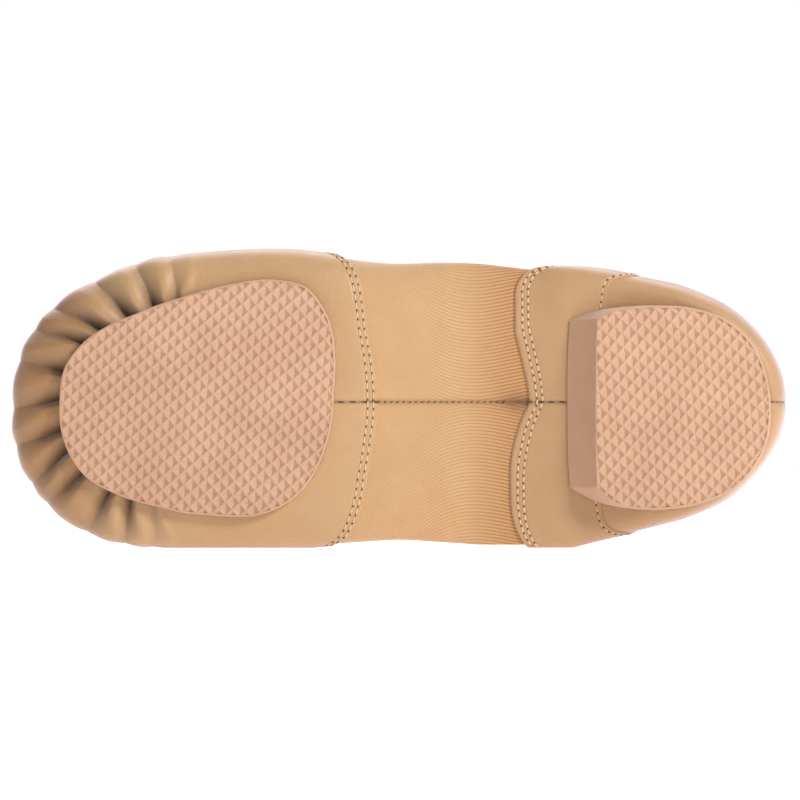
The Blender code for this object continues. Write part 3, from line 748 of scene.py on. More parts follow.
def gather(points):
    """Depth of the toe's gathers, and how dark they are, at places on the smooth last."""
    run = points[..., 0] - TOE_POLE * SHOE_LENGTH
    across = points[..., 1]
    radius = np.hypot(run, across)
    angle = np.degrees(np.arctan2(across, run))
    edge = pad_edge(angle)
    progress = (radius - edge) / (HALF_BALL - edge)
    dent = np.zeros_like(radius)
    dark = np.zeros_like(radius)
    rise = np.zeros_like(radius)
    soft = LIP_AT_PAD + (LIP_AT_OUTLINE - LIP_AT_PAD) * blend(progress)
    for at_pad, at_outline, depth, width, lip in GATHERS:
        centre = at_pad + (at_outline - at_pad) * np.clip(progress, 0.0, FOLD_REACH)
        offset = lip * np.radians(angle - centre) * radius / (width * FOLD_SLOPE)
        slope = np.clip(1 + offset, 0, None) ** SLOPE_POWER * (offset <= 0)
        steep = np.clip(1 - offset / soft, 0, None) ** LIP_POWER * (offset > 0)
        dent = np.maximum(dent, depth * (slope + steep))
        # Painted shade: the hollow of each gather gets a darker colour that follows its depth.
        dark = np.maximum(dark, depth * (slope ** SLOPE_SHADE + steep ** LIP_SHADE))
        rise = np.maximum(rise, bell(offset - soft - LOBE_SHIFT, LOBE_WIDTH))
    fade_in = blend((progress + FOLD_LEAD) / FOLD_LEAD)
    height_fade = 1 - blend(points[..., 2] / (widest_height(points) * FOLD_TOP))
    outward_fade = 1 - OUTWARD_LOSS * blend(progress * OUTWARD_PACE)
    deep = fade_in * height_fade * outward_fade
    swell = LOBE_RISE * rise * deep * blend(progress / LOBE_LEAD)
    return FOLD_DEEP * dent * deep - swell, dark * deep


# %% Grooves along the seams
STITCH_GROOVE = 0.00055

# The seam along the centre of the underside and up the back of the heel: its half width, its depth
# and how dark it is, in each piece.
CENTRE_SEAM = {
    "vamp": (0.0005, 0.0005, 0.35),
    "knit": (0.0008, 0.0004, 0.45),
    "band": (0.0006, 0.0004, 0.35),
    "counter": (0.0006, 0.0005, 0.30),
}


def stitch_groove(distance, rows, depth):
    """Depth of the shallow groove that each row of stitches pulls into the leather."""
    return depth * sum(bell(distance - row, STITCH_GROOVE) for row in rows)


def centre_seam(piece, distance, there=1.0):
    """Depth of the centre seam at a distance from it, and how dark it is."""
    half, depth, shade = CENTRE_SEAM[piece]
    line = bell(distance, half) * there
    return depth * line, shade * line


# %% [markdown]
# The vamp is one piece of leather from the seam behind the pad to the tip of the toe. Its rear edge
# is cut and lies on the knit, with two rows of stitches that pull shallow grooves into it.

# %% Vamp
GRID_WELD = 0.00002
VAMP_STITCHES = (0.0012, 0.0030)
VAMP_GROOVE = 0.00022
NEAR_EDGE = 0.0060
TOE_FAN_STEP = 0.36
LOW_STEP = 0.02
TOE_STEP = 0.0075
TOE_STEP_FROM = 0.7
# Where the painted shade on the toe's tip starts, and over what distance it comes in.
TOE_SHADE_FROM = 0.2050
TOE_SHADE_RUN = 0.0260


def cleaned(mesh, weld=0.0, outwards=True):
    """Weld the points of a mesh that touch, and turn its faces outwards."""
    bm = bmesh.new()
    bm.from_mesh(mesh)
    if weld > 0:
        bmesh.ops.remove_doubles(bm, verts=bm.verts, dist=weld)
    if outwards:
        bmesh.ops.recalc_face_normals(bm, faces=bm.faces)
    bm.to_mesh(mesh)
    bm.free()


def linked(name, mesh):
    """A mesh as an object of the scene."""
    piece = bpy.data.objects.new(name, mesh)
    bpy.context.scene.collection.objects.link(piece)
    print(name, "has", len(mesh.polygons), "faces")
    return piece


def mesh_of(name, points, faces=()):
    """A mesh from points and faces."""
    mesh = bpy.data.meshes.new(name)
    mesh.from_pydata([tuple(point) for point in points], [], faces)
    return mesh


def grid_piece(name, points, material, outwards=True, marks=None, uvs=None):
    """A piece from a grid of points in the upright shoe, with its marks kept through the weld."""
    faces = grid_faces(*points.shape[:2], outwards)
    mesh = mesh_of(name, to_frame(points.reshape(-1, 3)), faces)
    for mark, values in (marks or {}).items():
        layer = mesh.attributes.new(mark, "FLOAT", "POINT")
        layer.data.foreach_set("value", np.asarray(values, dtype=np.float32).ravel())
    if uvs is not None:
        layer = mesh.uv_layers.new(name="girth")
        corners = np.empty(len(mesh.loops), dtype=np.int32)
        mesh.loops.foreach_get("vertex_index", corners)
        layer.data.foreach_set("uv", np.asarray(uvs, np.float32).reshape(-1, 2)[corners].ravel())
    cleaned(mesh, GRID_WELD, outwards=False)
    mesh.shade_smooth()
    mesh.materials.append(material)
    return linked(name, mesh)


def vamp_station(sides, levels, distance, share):
    """Station at a distance in front of the vamp seam, and then a share of the way to the toe pole."""
    start = seam("vamp", sides, levels) + distance / SHOE_LENGTH
    return start + (TOE_POLE - start) * share


def make_vamp():
    sides, levels = girth(LEATHER_ROWS)
    near = np.concatenate([near_edge(NEAR_EDGE), [NEAR_EDGE]])
    far = np.concatenate([spaced(0, TOE_STEP_FROM, LOW_STEP)[1:], spaced(TOE_STEP_FROM, 1.0, TOE_STEP)])
    fan = np.arange(90, -0.01, -TOE_FAN_STEP)
    distance = stacked(near, np.full(len(far) + len(fan), NEAR_EDGE))
    share = stacked(np.zeros(len(near)), far, np.ones(len(fan)))
    angles = stacked(np.full(len(near) + len(far), 90.0), fan)
    station = vamp_station(sides[None], levels[None], distance, share)
    smooth = on_last(sides[None], station, angles, levels[None], 0.0)
    dent, dark = gather(smooth)
    from_edge = (station - seam("vamp", sides, levels)[None]) * SHOE_LENGTH
    widest = widest_height(smooth)
    behind_pad = (smooth[..., 0] < PAD_CENTRE[0] * SHOE_LENGTH) & (smooth[..., 2] < widest)
    centre, shade = centre_seam("vamp", smooth[..., 1], behind_pad)
    inset = edge_drop(distance) + dent + centre + stitch_groove(from_edge, VAMP_STITCHES, VAMP_GROOVE)
    points = on_last(sides[None], station, angles, levels[None], inset)
    # Painted shade: darker towards the toe's tip, fading out above the widest line.
    rubbed = blend((smooth[..., 0] - TOE_SHADE_FROM) / TOE_SHADE_RUN)
    rubbed = rubbed * (1 - blend((smooth[..., 2] - widest) / TOE_SHADE_RUN))
    # Painted shade in the gathers and along the centre seam, and a painted shade on the toe's tip.
    marks = {"crease": np.clip(dark + shade, 0, 1), "rubbed": rubbed}
    return grid_piece("vamp", points, LEATHER, marks=marks)


vamp = make_vamp()

# %% [markdown]
# The knit runs under both leather edges. Its ribs are a phase in the UV map: one full turn is a rib.
# The phase grows with the distance from the centre seam, so the two halves mirror each other.

# %% Knitted arch
KNIT_TUCK = 0.0060
RIBS_PER_METRE = 905
LEAN_FRONT = 925
LEAN_BACK = -188
LEAN_START = 0.0876
LEAN_END = 0.1248
COURSE = 0.0009
KNIT_COLUMNS = 96

# The knit is pulled into a small fold where the band's front edge has its notch.
FOLD_PLACE = 0.0840
FOLD_LENGTH = 0.0050
FOLD_WIDTH = 0.0030
FOLD_DEPTH = 0.0005
FOLD_SHADE = 0.6

# Towards the heel the knit hangs loose, its ribs close up and their relief is deeper, and a painted
# shade darkens its yarn and its grooves.
SLACK_SHADE_FRONT = 0.1020
SLACK_SHADE_BACK = 0.0830


def rib_lean(along):
    """Share of the phase that runs along the shoe, from level ribs to ribs that lean to the seam."""
    at = np.linspace(0.05, 0.16, 400)
    lean = LEAN_BACK + (LEAN_FRONT - LEAN_BACK) * blend((at - LEAN_START) / (LEAN_END - LEAN_START))
    total = np.concatenate([[0.0], np.cumsum((lean[1:] + lean[:-1]) / 2 * np.diff(at))])
    return np.interp(along, at, total)


def make_knit_arch():
    shares = np.linspace(0, 1, KNIT_COLUMNS)[:, None]

    def station_at(side, level):
        start = seam("band", side, level) - KNIT_TUCK / SHOE_LENGTH
        end = seam("vamp", side, level) + KNIT_TUCK / SHOE_LENGTH
        return start + (end - start) * shares

    sides, station, levels = patch(KNIT_ROWS, len(shares), station_at)
    smooth = on_last(sides, station, 90.0, levels, KNIT_INSET)
    along, across = smooth[..., 0], smooth[..., 1]
    steps = np.linalg.norm(np.diff(smooth, axis=1), axis=2)
    travelled = np.concatenate([np.zeros((len(shares), 1)), np.cumsum(steps, axis=1)], axis=1)
    middle = len(KNIT_ROWS) - 1
    round_way = np.abs(travelled - travelled[:, middle:middle + 1])
    uvs = np.stack([RIBS_PER_METRE * round_way - rib_lean(along), along / COURSE], axis=-1)
    fold = bell(along - FOLD_PLACE, FOLD_LENGTH) * bell(across, FOLD_WIDTH) * (levels < WIDEST)
    centre, shade = centre_seam("knit", round_way)
    points = on_last(sides, station, 90.0, levels, KNIT_INSET + centre + fold * FOLD_DEPTH)
    # Painted shade towards the heel, which also deepens the rib relief there.
    slack = 1 - blend((along - SLACK_SHADE_BACK) / (SLACK_SHADE_FRONT - SLACK_SHADE_BACK))
    # Painted shade in the fold by the band's notch and along the centre seam.
    marks = {"crease": np.clip(shade + fold * FOLD_SHADE, 0, 1), "slack": slack}
    return grid_piece("knit_arch", points, KNIT, marks=marks, uvs=uvs)


knit_arch = make_knit_arch()

# %% [markdown]
# Behind the arch, a band of leather crosses the waist and a counter wraps the heel. The band's front
# edge lies on the knit, and its rear edge laps over the counter.

# %% Heel band and counter
BAND_STITCHES = (0.0023, 0.0041)
COUNTER_STITCH = 0.0016
COUNTER_INSET = 0.00045
COUNTER_TUCK = 0.0050
BAND_MARGIN = 0.0055
BACK_EDGE = 0.55
BAND_GROOVE = 0.0002
BAND_COLUMNS = 26
COUNTER_COLUMNS = 24
HEEL_FAN_STEP = 1.5


def make_band():
    near = near_edge(BAND_MARGIN)
    middle = np.linspace(0, 1, BAND_COLUMNS)
    whole = np.full(len(near) + len(middle), BAND_MARGIN)
    shares = stacked(np.zeros(len(near)), middle, np.ones(len(near)))
    from_back = stacked(near, whole)
    from_front = stacked(whole, near[::-1])

    def station_at(side, level):
        start = seam("counter", side, level) + from_back / SHOE_LENGTH
        end = seam("band", side, level) - from_front / SHOE_LENGTH
        return np.where(shares < 1, start + (end - start) * shares, end)

    sides, station, levels = patch(LEATHER_ROWS, len(shares), station_at)
    to_front = (seam("band", sides, levels) - station) * SHOE_LENGTH
    to_back = (station - seam("counter", sides, levels)) * SHOE_LENGTH
    inset = edge_drop(to_front) + edge_drop(to_back) * BACK_EDGE
    inset = inset + stitch_groove(to_front, BAND_STITCHES, BAND_GROOVE)
    inset = inset + stitch_groove(to_back, (COUNTER_STITCH,), BAND_GROOVE)
    smooth = on_last(sides, station, 90.0, levels, 0.0)
    centre, shade = centre_seam("band", smooth[..., 1], levels < WIDEST)
    points = on_last(sides, station, 90.0, levels, inset + centre)
    # Painted shade along the centre seam.
    return grid_piece("heel_band", points, HEEL_LEATHER, marks={"crease": shade})


def make_counter():
    fan = np.arange(0, 90, HEEL_FAN_STEP)
    run = np.linspace(0, 1, COUNTER_COLUMNS)
    angles = stacked(fan, np.full(len(run), 90.0))
    shares = stacked(np.zeros(len(fan)), run)

    def station_at(side, level):
        end = seam("counter", side, level) + COUNTER_TUCK / SHOE_LENGTH
        return HEEL_POLE + (end - HEEL_POLE) * shares

    sides, station, levels = patch(LEATHER_ROWS, len(shares), station_at, angles)
    smooth = on_last(sides, station, angles, levels, 0.0)
    behind = smooth[..., 0] < HEEL_POLE * SHOE_LENGTH
    centre, shade = centre_seam("counter", smooth[..., 1], behind)
    points = on_last(sides, station, angles, levels, COUNTER_INSET + centre)
    # Painted shade along the centre seam.
    return grid_piece("counter", points, HEEL_LEATHER, marks={"crease": shade})


heel_band = make_band()
counter = make_counter()

# %% [markdown]
# Inside, a cloth lining follows the wall from heel to toe, and a thin insole lies on its floor.

# %% Lining and insole
LINING_INSET = 0.0020
LINING_CLEAR = 0.0014
INSOLE_FLOOR = 0.0027
INSOLE_TOP = 0.0047


def whole_shoe(rows, inset):
    """Points of a grid over the whole shoe, from the heel's fan to the toe's."""
    heel_fan = np.arange(0, 90, 5)
    body = np.concatenate([np.linspace(0, 0.72, 40, endpoint=False), np.linspace(0.72, 1, 50)])
    toe_fan = np.arange(88.5, -0.1, -1.5)
    angles = stacked(heel_fan, np.full(len(body), 90.0), toe_fan)
    shares = stacked(np.zeros(len(heel_fan)), body, np.ones(len(toe_fan)))

    def station_at(side, level):
        return HEEL_POLE + (TOE_POLE - HEEL_POLE) * shares

    sides, station, levels = patch(rows, len(shares), station_at, angles)
    return on_last(sides, station, angles, levels, inset)


def gathered(rows):
    """Depth of the toe's gathers over a grid of the whole shoe."""
    return np.clip(gather(whole_shoe(rows, 0.0))[0], 0, None)


def make_lining():
    rows = np.concatenate([np.linspace(0, 0.25, 6), np.linspace(0.28, 0.5, 9), np.linspace(0.53, 1, 26)])
    points = whole_shoe(rows, np.maximum(LINING_INSET, gathered(rows) + LINING_CLEAR))
    return grid_piece("lining", points, LINING, outwards=False)


def make_insole():
    rows = np.concatenate([np.linspace(0, 0.31, 24), [0.318, 0.325, 0.33, 0.332, 0.33]])
    depth = np.concatenate([np.ones(24), [0.97, 0.85, 0.5, 0.15, 0.0]])
    inset = INSOLE_FLOOR + (INSOLE_TOP - INSOLE_FLOOR) * depth
    both = np.concatenate([inset[::-1], inset[1:]])
    points = whole_shoe(rows, both[None] + gathered(rows))
    return grid_piece("insole_board", points, INSOLE, outwards=False)


lining = make_lining()
insole_board = make_insole()

# %% [markdown]
# The tread is a sheet of small square pits pressed into the rubber, with narrow lands between them.
# Each pit is a pyramid that leans back, so its front walls are broad and its back walls are steep.
# One cell repeats over a whole surface, so Geometry Nodes makes it: a grid's faces are shrunk to leave
# the lands, pushed in, shrunk again and shifted. The outline then cuts the sheet.

# %% Tread with Geometry Nodes
PIT_PITCH = 0.0031
PIT_DEPTH = 0.00078
PIT_LEAN = 0.00034
LAND_SHARE = 0.9
PIT_FLOOR = 0.12
SLAB_DEPTH = 0.0014
SHEET_WELD = 0.00001
CUTTER_HALF = 0.01
HEEL_TREAD_TURN = 40.2
PAD_TREAD_TURN = 49.8


class Growth:
    """A Geometry Nodes tree with named inputs, built node by node."""

    def __init__(self, name, inputs):
        self.tree = bpy.data.node_groups.new(name, "GeometryNodeTree")
        face = self.tree.interface
        face.new_socket("Start", in_out="INPUT", socket_type="NodeSocketGeometry")
        self.sockets = {}
        for label, value in inputs.items():
            socket = face.new_socket(label, in_out="INPUT", socket_type="NodeSocketFloat")
            socket.default_value = value
            self.sockets[label] = socket.identifier
        face.new_socket("Finished", in_out="OUTPUT", socket_type="NodeSocketGeometry")
        self.source = self.tree.nodes.new("NodeGroupInput")

    def value(self, label):
        return self.source.outputs[label]

    def add(self, kind, settings=None, sockets=None, output=0):
        return add_node(self.tree, kind, settings, sockets, output)

    def maths(self, operation, first, second):
        return self.add("ShaderNodeMath", {"operation": operation}, {0: first, 1: second})

    def vector(self, **parts):
        return self.add("ShaderNodeCombineXYZ", sockets=parts)

    def join(self, parts):
        return self.add("GeometryNodeJoinGeometry", sockets={0: parts})

    def finish(self, *branches):
        """End the tree: each branch is made real and gets its material, and they are joined."""
        parts = []
        for geometry, material in branches:
            real = self.add("GeometryNodeRealizeInstances", sockets={0: geometry})
            sockets = {"Geometry": real, "Material": material}
            parts.append(self.add("GeometryNodeSetMaterial", sockets=sockets))
        done = self.tree.nodes.new("NodeGroupOutput")
        self.tree.links.new(self.join(parts) if len(parts) > 1 else parts[0], done.inputs[0])

    def grow(self, name, start, values):
        """The tree's result on a start mesh, as a plain mesh."""
        helper = bpy.data.objects.new(name, start)
        bpy.context.scene.collection.objects.link(helper)
        modifier = helper.modifiers.new("growth", "NODES")
        modifier.node_group = self.tree
        for label, value in values.items():
            modifier[self.sockets[label]] = value
        bpy.context.view_layer.update()
        grown = helper.evaluated_get(bpy.context.evaluated_depsgraph_get())
        made = bpy.data.meshes.new_from_object(grown)
        made.name = name
        bpy.data.objects.remove(helper)
        return made


def tread_growth():
    """Tree that presses a grid of pits and cuts it to the outline that it starts from."""
    growth = Growth("pressed_tread", {
        "Pitch": PIT_PITCH, "Depth": PIT_DEPTH, "Lean": PIT_LEAN, "Land": LAND_SHARE, "Floor": PIT_FLOOR,
        "Slab": SLAB_DEPTH, "Size": 0.1, "Turn": 0.0, "Along": 0.0, "Across": 0.0})
    given = growth.value
    lines = growth.add("FunctionNodeFloatToInt", sockets={
        0: growth.maths("DIVIDE", given("Size"), given("Pitch"))})
    reach = growth.maths("MULTIPLY", lines, given("Pitch"))
    count = growth.maths("ADD", lines, 1.0)
    grid = growth.add("GeometryNodeMeshGrid", sockets={
        "Size X": reach, "Size Y": reach, "Vertices X": count, "Vertices Y": count})
    inwards = growth.vector(Z=1.0)

    def pushed(mesh, depth, one_by_one, picked=True):
        """Faces pushed inwards, and the mark of the faces that moved."""
        sockets = {"Mesh": mesh, "Offset": inwards, "Offset Scale": depth,
                   "Individual": one_by_one, "Selection": picked}
        moved = growth.add("GeometryNodeExtrudeMesh", {"mode": "FACES"}, sockets)
        return moved, moved.node.outputs["Top"]

    def shrunk(mesh, picked, share):
        return growth.add("GeometryNodeScaleElements", {"domain": "FACE"}, {
            "Geometry": mesh, "Selection": picked, "Scale": share})

    cells, inside = pushed(grid, 0.0, True)
    lands = shrunk(cells, inside, given("Land"))
    pits, bottom = pushed(lands, given("Depth"), True, inside)
    pointed = shrunk(pits, bottom, given("Floor"))
    backwards = growth.vector(X=growth.maths("MULTIPLY", given("Lean"), -1.0))
    unturned = growth.add("ShaderNodeVectorRotate", {"rotation_type": "Z_AXIS"}, {
        "Vector": backwards, "Angle": growth.maths("MULTIPLY", given("Turn"), -1.0)})
    leaned = growth.add("GeometryNodeSetPosition", sockets={
        "Geometry": pointed, "Selection": bottom, "Offset": unturned})
    pressed = growth.add("GeometryNodeFlipFaces", sockets={0: leaned})
    back, _ = pushed(grid, given("Slab"), False)
    closed = growth.add("GeometryNodeMergeByDistance", sockets={
        "Geometry": growth.join([pressed, back]), "Distance": SHEET_WELD})
    spin = growth.add("FunctionNodeEulerToRotation", sockets={0: growth.vector(Z=given("Turn"))})
    move = growth.vector(X=given("Along"), Y=given("Across"))
    placed = growth.add("GeometryNodeTransform", sockets={
        "Geometry": closed, "Translation": move, "Rotation": spin})
    cut = growth.add("GeometryNodeMeshBoolean", {"operation": "INTERSECT", "solver": "EXACT"}, {
        1: [placed, given("Start")]})
    growth.finish((cut, RUBBER))
    return growth


def prism(outline):
    """A closed prism over an outline, to cut a sheet with."""
    count = len(outline)
    ends = [np.column_stack([outline, np.full(count, height)]) for height in (-CUTTER_HALF, CUTTER_HALF)]
    faces = [tuple(range(count)), tuple(range(2 * count - 1, count - 1, -1))]
    for index in range(count):
        after = (index + 1) % count
        faces.append((index, after, after + count, index + count))
    mesh = mesh_of("prism", np.vstack(ends), faces)
    cleaned(mesh)
    return mesh


def travel(points):
    """Distance travelled along a line of points."""
    steps = np.linalg.norm(np.diff(points, axis=0), axis=1)
    return np.concatenate([[0.0], np.cumsum(steps)])


def resampled(points, count, closed=False):
    """A count of points in equal steps along a line, or round a closed one."""
    points = np.asarray(points, float)
    if closed:
        points = np.vstack([points, points[:1]])
    travelled = travel(points)
    at = np.linspace(0, travelled[-1], count, endpoint=not closed)
    return np.stack([np.interp(at, travelled, part) for part in points.T], axis=-1)


def smooth_outline(points, corners, count):
    """Closed smooth curve through points, in equal shares of its length."""
    points = np.asarray(points, float)
    total = len(points)
    dense = []
    for index in range(total):
        before, start = points[index - 1], points[index]
        end, after = points[(index + 1) % total], points[(index + 2) % total]
        chord = end - start
        leaving = chord if index in corners else (end - before) / 2
        arriving = chord if (index + 1) % total in corners else (after - start) / 2
        for t in np.linspace(0, 1, 12, endpoint=False):
            first = start * (1 + 2 * t) * (1 - t) ** 2 + end * t * t * (3 - 2 * t)
            dense.append(first + leaving * t * (1 - t) ** 2 + arriving * t * t * (t - 1))
    return resampled(dense, count, closed=True)


TREAD = tread_growth()


def tread_sheet(name, outline, centre, degrees):
    """The pressed sheet cut to an outline, still flat, with its face at height 0."""
    size = 2 * np.linalg.norm(outline - centre, axis=1).max() + 4 * PIT_PITCH
    values = {"Size": float(size), "Turn": math.radians(degrees),
              "Along": float(centre[0]), "Across": float(centre[1])}
    return TREAD.grow(name, prism(outline), values)


def lay(shape, name, height_over, material):
    """Bend a flat sheet: each point is raised by the height over its place in plan."""
    points = np.empty(len(shape.vertices) * 3)
    shape.vertices.foreach_get("co", points)
    points = points.reshape(-1, 3)
    points[:, 2] += height_over(points[:, 0], points[:, 1])
    shape.vertices.foreach_set("co", to_frame(points).ravel())
    cleaned(shape)
    shape.shade_flat()
    shape.materials.clear()
    shape.materials.append(material)
    return linked(name, shape)


# %% [markdown]
# The forefoot pad is thin and bends with the leather under it. The heel is a moulded block: its seat
# follows the leather, its breast slants, and its tread is flat. Both have a narrow smooth rim.

# %% Forefoot pad and heel
PAD_RIM = 0.0006
HEEL_RIM = 0.0007
RING_POINTS = 220
RING_WELD = 0.000005
SHARP_ANGLE = math.radians(50)

# Rings of the seat and of the tread's edge: how far each is drawn in, and its height over the
# surface, both in metres.
PAD_SEAT = ((0.004, 0.0), (0.0, 0.0))
PAD_EDGE = (
    (0.0, 0.0008), (0.00006, 0.0003), (0.0002, 0.00008), (0.0004, 0.0), (PAD_RIM, 0.0), (PAD_RIM, 0.001),
)
HEEL_SEAT = ((0.004, 0.0), (0.0003, 0.0), (0.0, -0.0003))
HEEL_EDGE = (
    (0.0, 0.0012), (0.0001, 0.0005), (0.0003, 0.0001), (0.0006, 0.0), (HEEL_RIM, 0.0), (HEEL_RIM, 0.001),
)


def ring_skin(name, rings, material):
    """A smooth skin through closed rings of points."""
    rings = np.array(rings)
    count, around = rings.shape[:2]
    faces = []
    for ring in range(count - 1):
        for index in range(around):
            a, b = ring * around + index, ring * around + (index + 1) % around
            faces.append((a, b, b + around, a + around))
    mesh = mesh_of(name, to_frame(rings.reshape(-1, 3)), faces)
    cleaned(mesh, RING_WELD)
    mesh.shade_smooth()
    mesh.set_sharp_from_angle(angle=SHARP_ANGLE)
    mesh.materials.append(material)
    return linked(name, mesh)


def inward(outline, centre, distance):
    """An outline drawn in towards its centre by a distance."""
    way = centre - outline
    return outline + way / np.linalg.norm(way, axis=1)[:, None] * distance


def seat_level(along, across):
    """Height of the upper's underside, where a sole piece is cemented on."""
    return under_height(along, across, -SEAT_GAP)


def pad_level(along, across):
    """Height of the pad's tread, which follows the leather."""
    return seat_level(along, across) - PAD_THICKNESS


def heel_level(along, across):
    """Height of the heel's flat tread."""
    return np.zeros_like(along)


def raised(outline, centre, steps, level):
    """Rings of an outline, each drawn in and raised over a surface."""
    plans = [inward(outline, centre, into) for into, _ in steps]
    return [np.column_stack([plan, level(*plan.T) + up]) for plan, (_, up) in zip(plans, steps)]


def moulded(names, seat_rings, tread, centre, edge, level, turn):
    """A sole piece: a wall with a narrow smooth rim, and the pressed tread inside the rim."""
    wall = ring_skin(names[0], seat_rings + raised(tread, centre, edge, level), RUBBER)
    sheet = tread_sheet(names[1], inward(tread, centre, edge[-1][0]), centre, turn)
    return [wall, lay(sheet, names[1], level, RUBBER)]


def make_pad():
    angles = np.arange(RING_POINTS) * 360 / RING_POINTS
    centre = np.array([PAD_CENTRE[0] * SHOE_LENGTH, PAD_CENTRE[1] * HALF_BALL])
    radius = HALF_BALL * round_table(PAD_OUTLINE, angles)
    turns = np.radians(angles)
    outline = centre + np.stack([np.cos(turns), np.sin(turns)], axis=-1) * radius[:, None]
    seat = raised(outline, centre, PAD_SEAT, seat_level)
    names = ("forefoot_rim", "forefoot_tread")
    return moulded(names, seat, outline, centre, PAD_EDGE, pad_level, PAD_TREAD_TURN)


def make_heel():
    scale = np.array([SHOE_LENGTH, HALF_BALL])
    outline = smooth_outline(HEEL_OUTLINE, HEEL_CORNERS, RING_POINTS) * scale
    centre = np.array(HEEL_CENTRE) * scale
    front, start = SEAT_FRONT * SHOE_LENGTH, SLANT_START * SHOE_LENGTH
    pull = np.clip((outline[:, 0] - start) / (front - start), 0, None) * BREAST_SLANT
    tread = outline - np.column_stack([pull, np.zeros_like(pull)])
    seat = raised(outline, centre, HEEL_SEAT, seat_level)
    names = ("heel_block", "heel_tread")
    return moulded(names, seat, tread, centre, HEEL_EDGE, heel_level, HEEL_TREAD_TURN)


pad_pieces = make_pad()
heel_pieces = make_heel()

# %% [markdown]
# Stitches and the collar's binding lie on the leather. A search tree over the smooth last finds the
# surface and its direction at any place.

# %% Finding the surface
def surface_tree(inset):
    """Search tree over the whole last at an inset, in the upright shoe."""
    parts = [np.linspace(0, 0.25, 20), np.linspace(0.255, 0.5, 40), np.linspace(0.505, 1, 60)]
    points = whole_shoe(np.concatenate(parts), inset)
    verts = [Vector(point) for point in points.reshape(-1, 3)]
    return BVHTree.FromPolygons(verts, grid_faces(*points.shape[:2]))


OUTSIDE = surface_tree(0.0)
INSIDE = surface_tree(LINING_INSET)

# %% [markdown]
# The collar's edge is bound with a folded tape. Its section is a U over the edge: down the outside,
# over the top, down the inside.

# %% Collar binding
TAPE_LEG = 0.0062
TAPE_CLEAR = 0.00035
TAPE_TOP = 0.0016
TAPE_HALF = 0.0017
TAPE_LIFT = 0.0003
TAPE_STEPS = 258
TAPE_LEG_RINGS = 10
TAPE_TOP_RINGS = 9
TAPE_TOP_START = 0.2
TOPLINE_STEPS = 160
TOPLINE_FAN = 20


def topline_ring(inset):
    """Points of the topline all the way round the opening."""
    fan = np.arange(0, 90, 90 / TOPLINE_FAN)
    body = np.sin(np.linspace(0, 1, TOPLINE_STEPS) * math.pi / 2)
    angles = np.concatenate([fan, np.full(TOPLINE_STEPS, 90.0)])
    station = HEEL_POLE + (THROAT - HEEL_POLE) * np.concatenate([np.zeros(len(fan)), body])
    ring = []
    for side in (1, -1):
        part = on_last(side, station, angles, end_level(side, station, angles), inset)
        ring.append(part if side > 0 else part[-2:0:-1])
    return np.vstack(ring)


def unit(vectors):
    """Vectors of length 1 in the same directions."""
    return vectors / np.linalg.norm(vectors, axis=-1, keepdims=True)


def make_binding():
    rim = resampled(topline_ring(LEATHER_WALL / 2), TAPE_STEPS, closed=True)
    outward = unit(np.array([OUTSIDE.find_nearest(Vector(point))[0] for point in rim]) - rim)
    wall = unit(np.cross(np.roll(rim, -1, axis=0) - np.roll(rim, 1, axis=0), outward))
    wall = wall * np.sign(wall[:, 2].mean())

    def leg(tree, way, down):
        """A ring on one face of the wall, at a distance below the rim. The tape's end touches it."""
        clear = TAPE_CLEAR if down < TAPE_LEG else 0.0
        found = [tree.find_nearest(Vector(point))[0] for point in rim - wall * down]
        return np.array(found) + outward * way * clear

    legs = np.linspace(TAPE_LEG, 0.0, TAPE_LEG_RINGS)
    rings = [leg(OUTSIDE, 1, down) for down in legs]
    for turn in np.linspace(TAPE_TOP_START, math.pi - TAPE_TOP_START, TAPE_TOP_RINGS):
        up = TAPE_TOP * math.sin(turn) + TAPE_LIFT
        rings.append(rim + outward * TAPE_HALF * math.cos(turn) + wall * up)
    rings += [leg(INSIDE, -1, down) for down in legs[::-1]]
    return ring_skin("collar_tape", rings, TAPE)


collar_tape = make_binding()

# %% [markdown]
# Every stitch row is a line of places on the leather, with the direction of the seam and the
# direction out of the leather. Geometry Nodes puts a thread at each place, and halfway to the next a
# small dark bead: painted shade for the needle hole.

# %% Stitches with Geometry Nodes
FLOOR_CLEAR = 0.0007
STITCH_SINK = 0.00012
STITCH_SLANT = math.radians(28)

# Height inside the shoe, from which the direction out of the leather is judged.
INNER_HEIGHT = 0.4 * INSTEP_HEIGHT

# Kinds of stitch, in metres.
EVEN = {"Spacing": 0.00235, "Length": 0.0019, "Thickness": 0.00066, "Hole": 0.00056}
LONG = {**EVEN, "Spacing": 0.00275, "Length": 0.0021}
SUNK = {"Spacing": 0.0030, "Length": 0.0022, "Thickness": 0.0005, "Hole": 0.0002}
SHORT = {"Spacing": 0.0021, "Length": 0.0013, "Thickness": 0.00045, "Hole": 0.0002}
SLANTED = {"Spacing": 0.00185, "Length": 0.0014, "Thickness": 0.00055, "Hole": 0.0002}

# Seams along the centre of the underside: both ends, in metres from the heel, and the inset.
VAMP_CENTRE = (0.1272, 0.1420, 0.0003)
KNIT_CENTRE = (0.0880, 0.1265, KNIT_INSET + 0.0004)
BAND_CENTRE = (0.0665, 0.0800, 0.0002)
BACK_INSET = COUNTER_INSET + 0.0004

# Levels where the side seams and the back seam come out from under the heel.
SIDE_START = 0.2
BACK_START = 0.1


def seam_line(name, offset, low=0.0, sides=(1, -1)):
    """A line that follows a seam round the section at a distance in front of it, up to the topline."""
    parts = []
    for side in sides:
        levels = np.linspace(low, 1.0, 400)
        station = seam(name, side, levels) + offset / SHOE_LENGTH
        below = levels <= end_level(side, station, 90.0)
        part = on_last(side, station, 90.0, levels, 0.0)[below]
        part[:, 1] = np.maximum(part[:, 1], FLOOR_CLEAR - REST_WIDTH)
        parts.append(part)
    return np.vstack([parts[0][::-1], parts[1][1:]]) if len(parts) == 2 else parts[0]


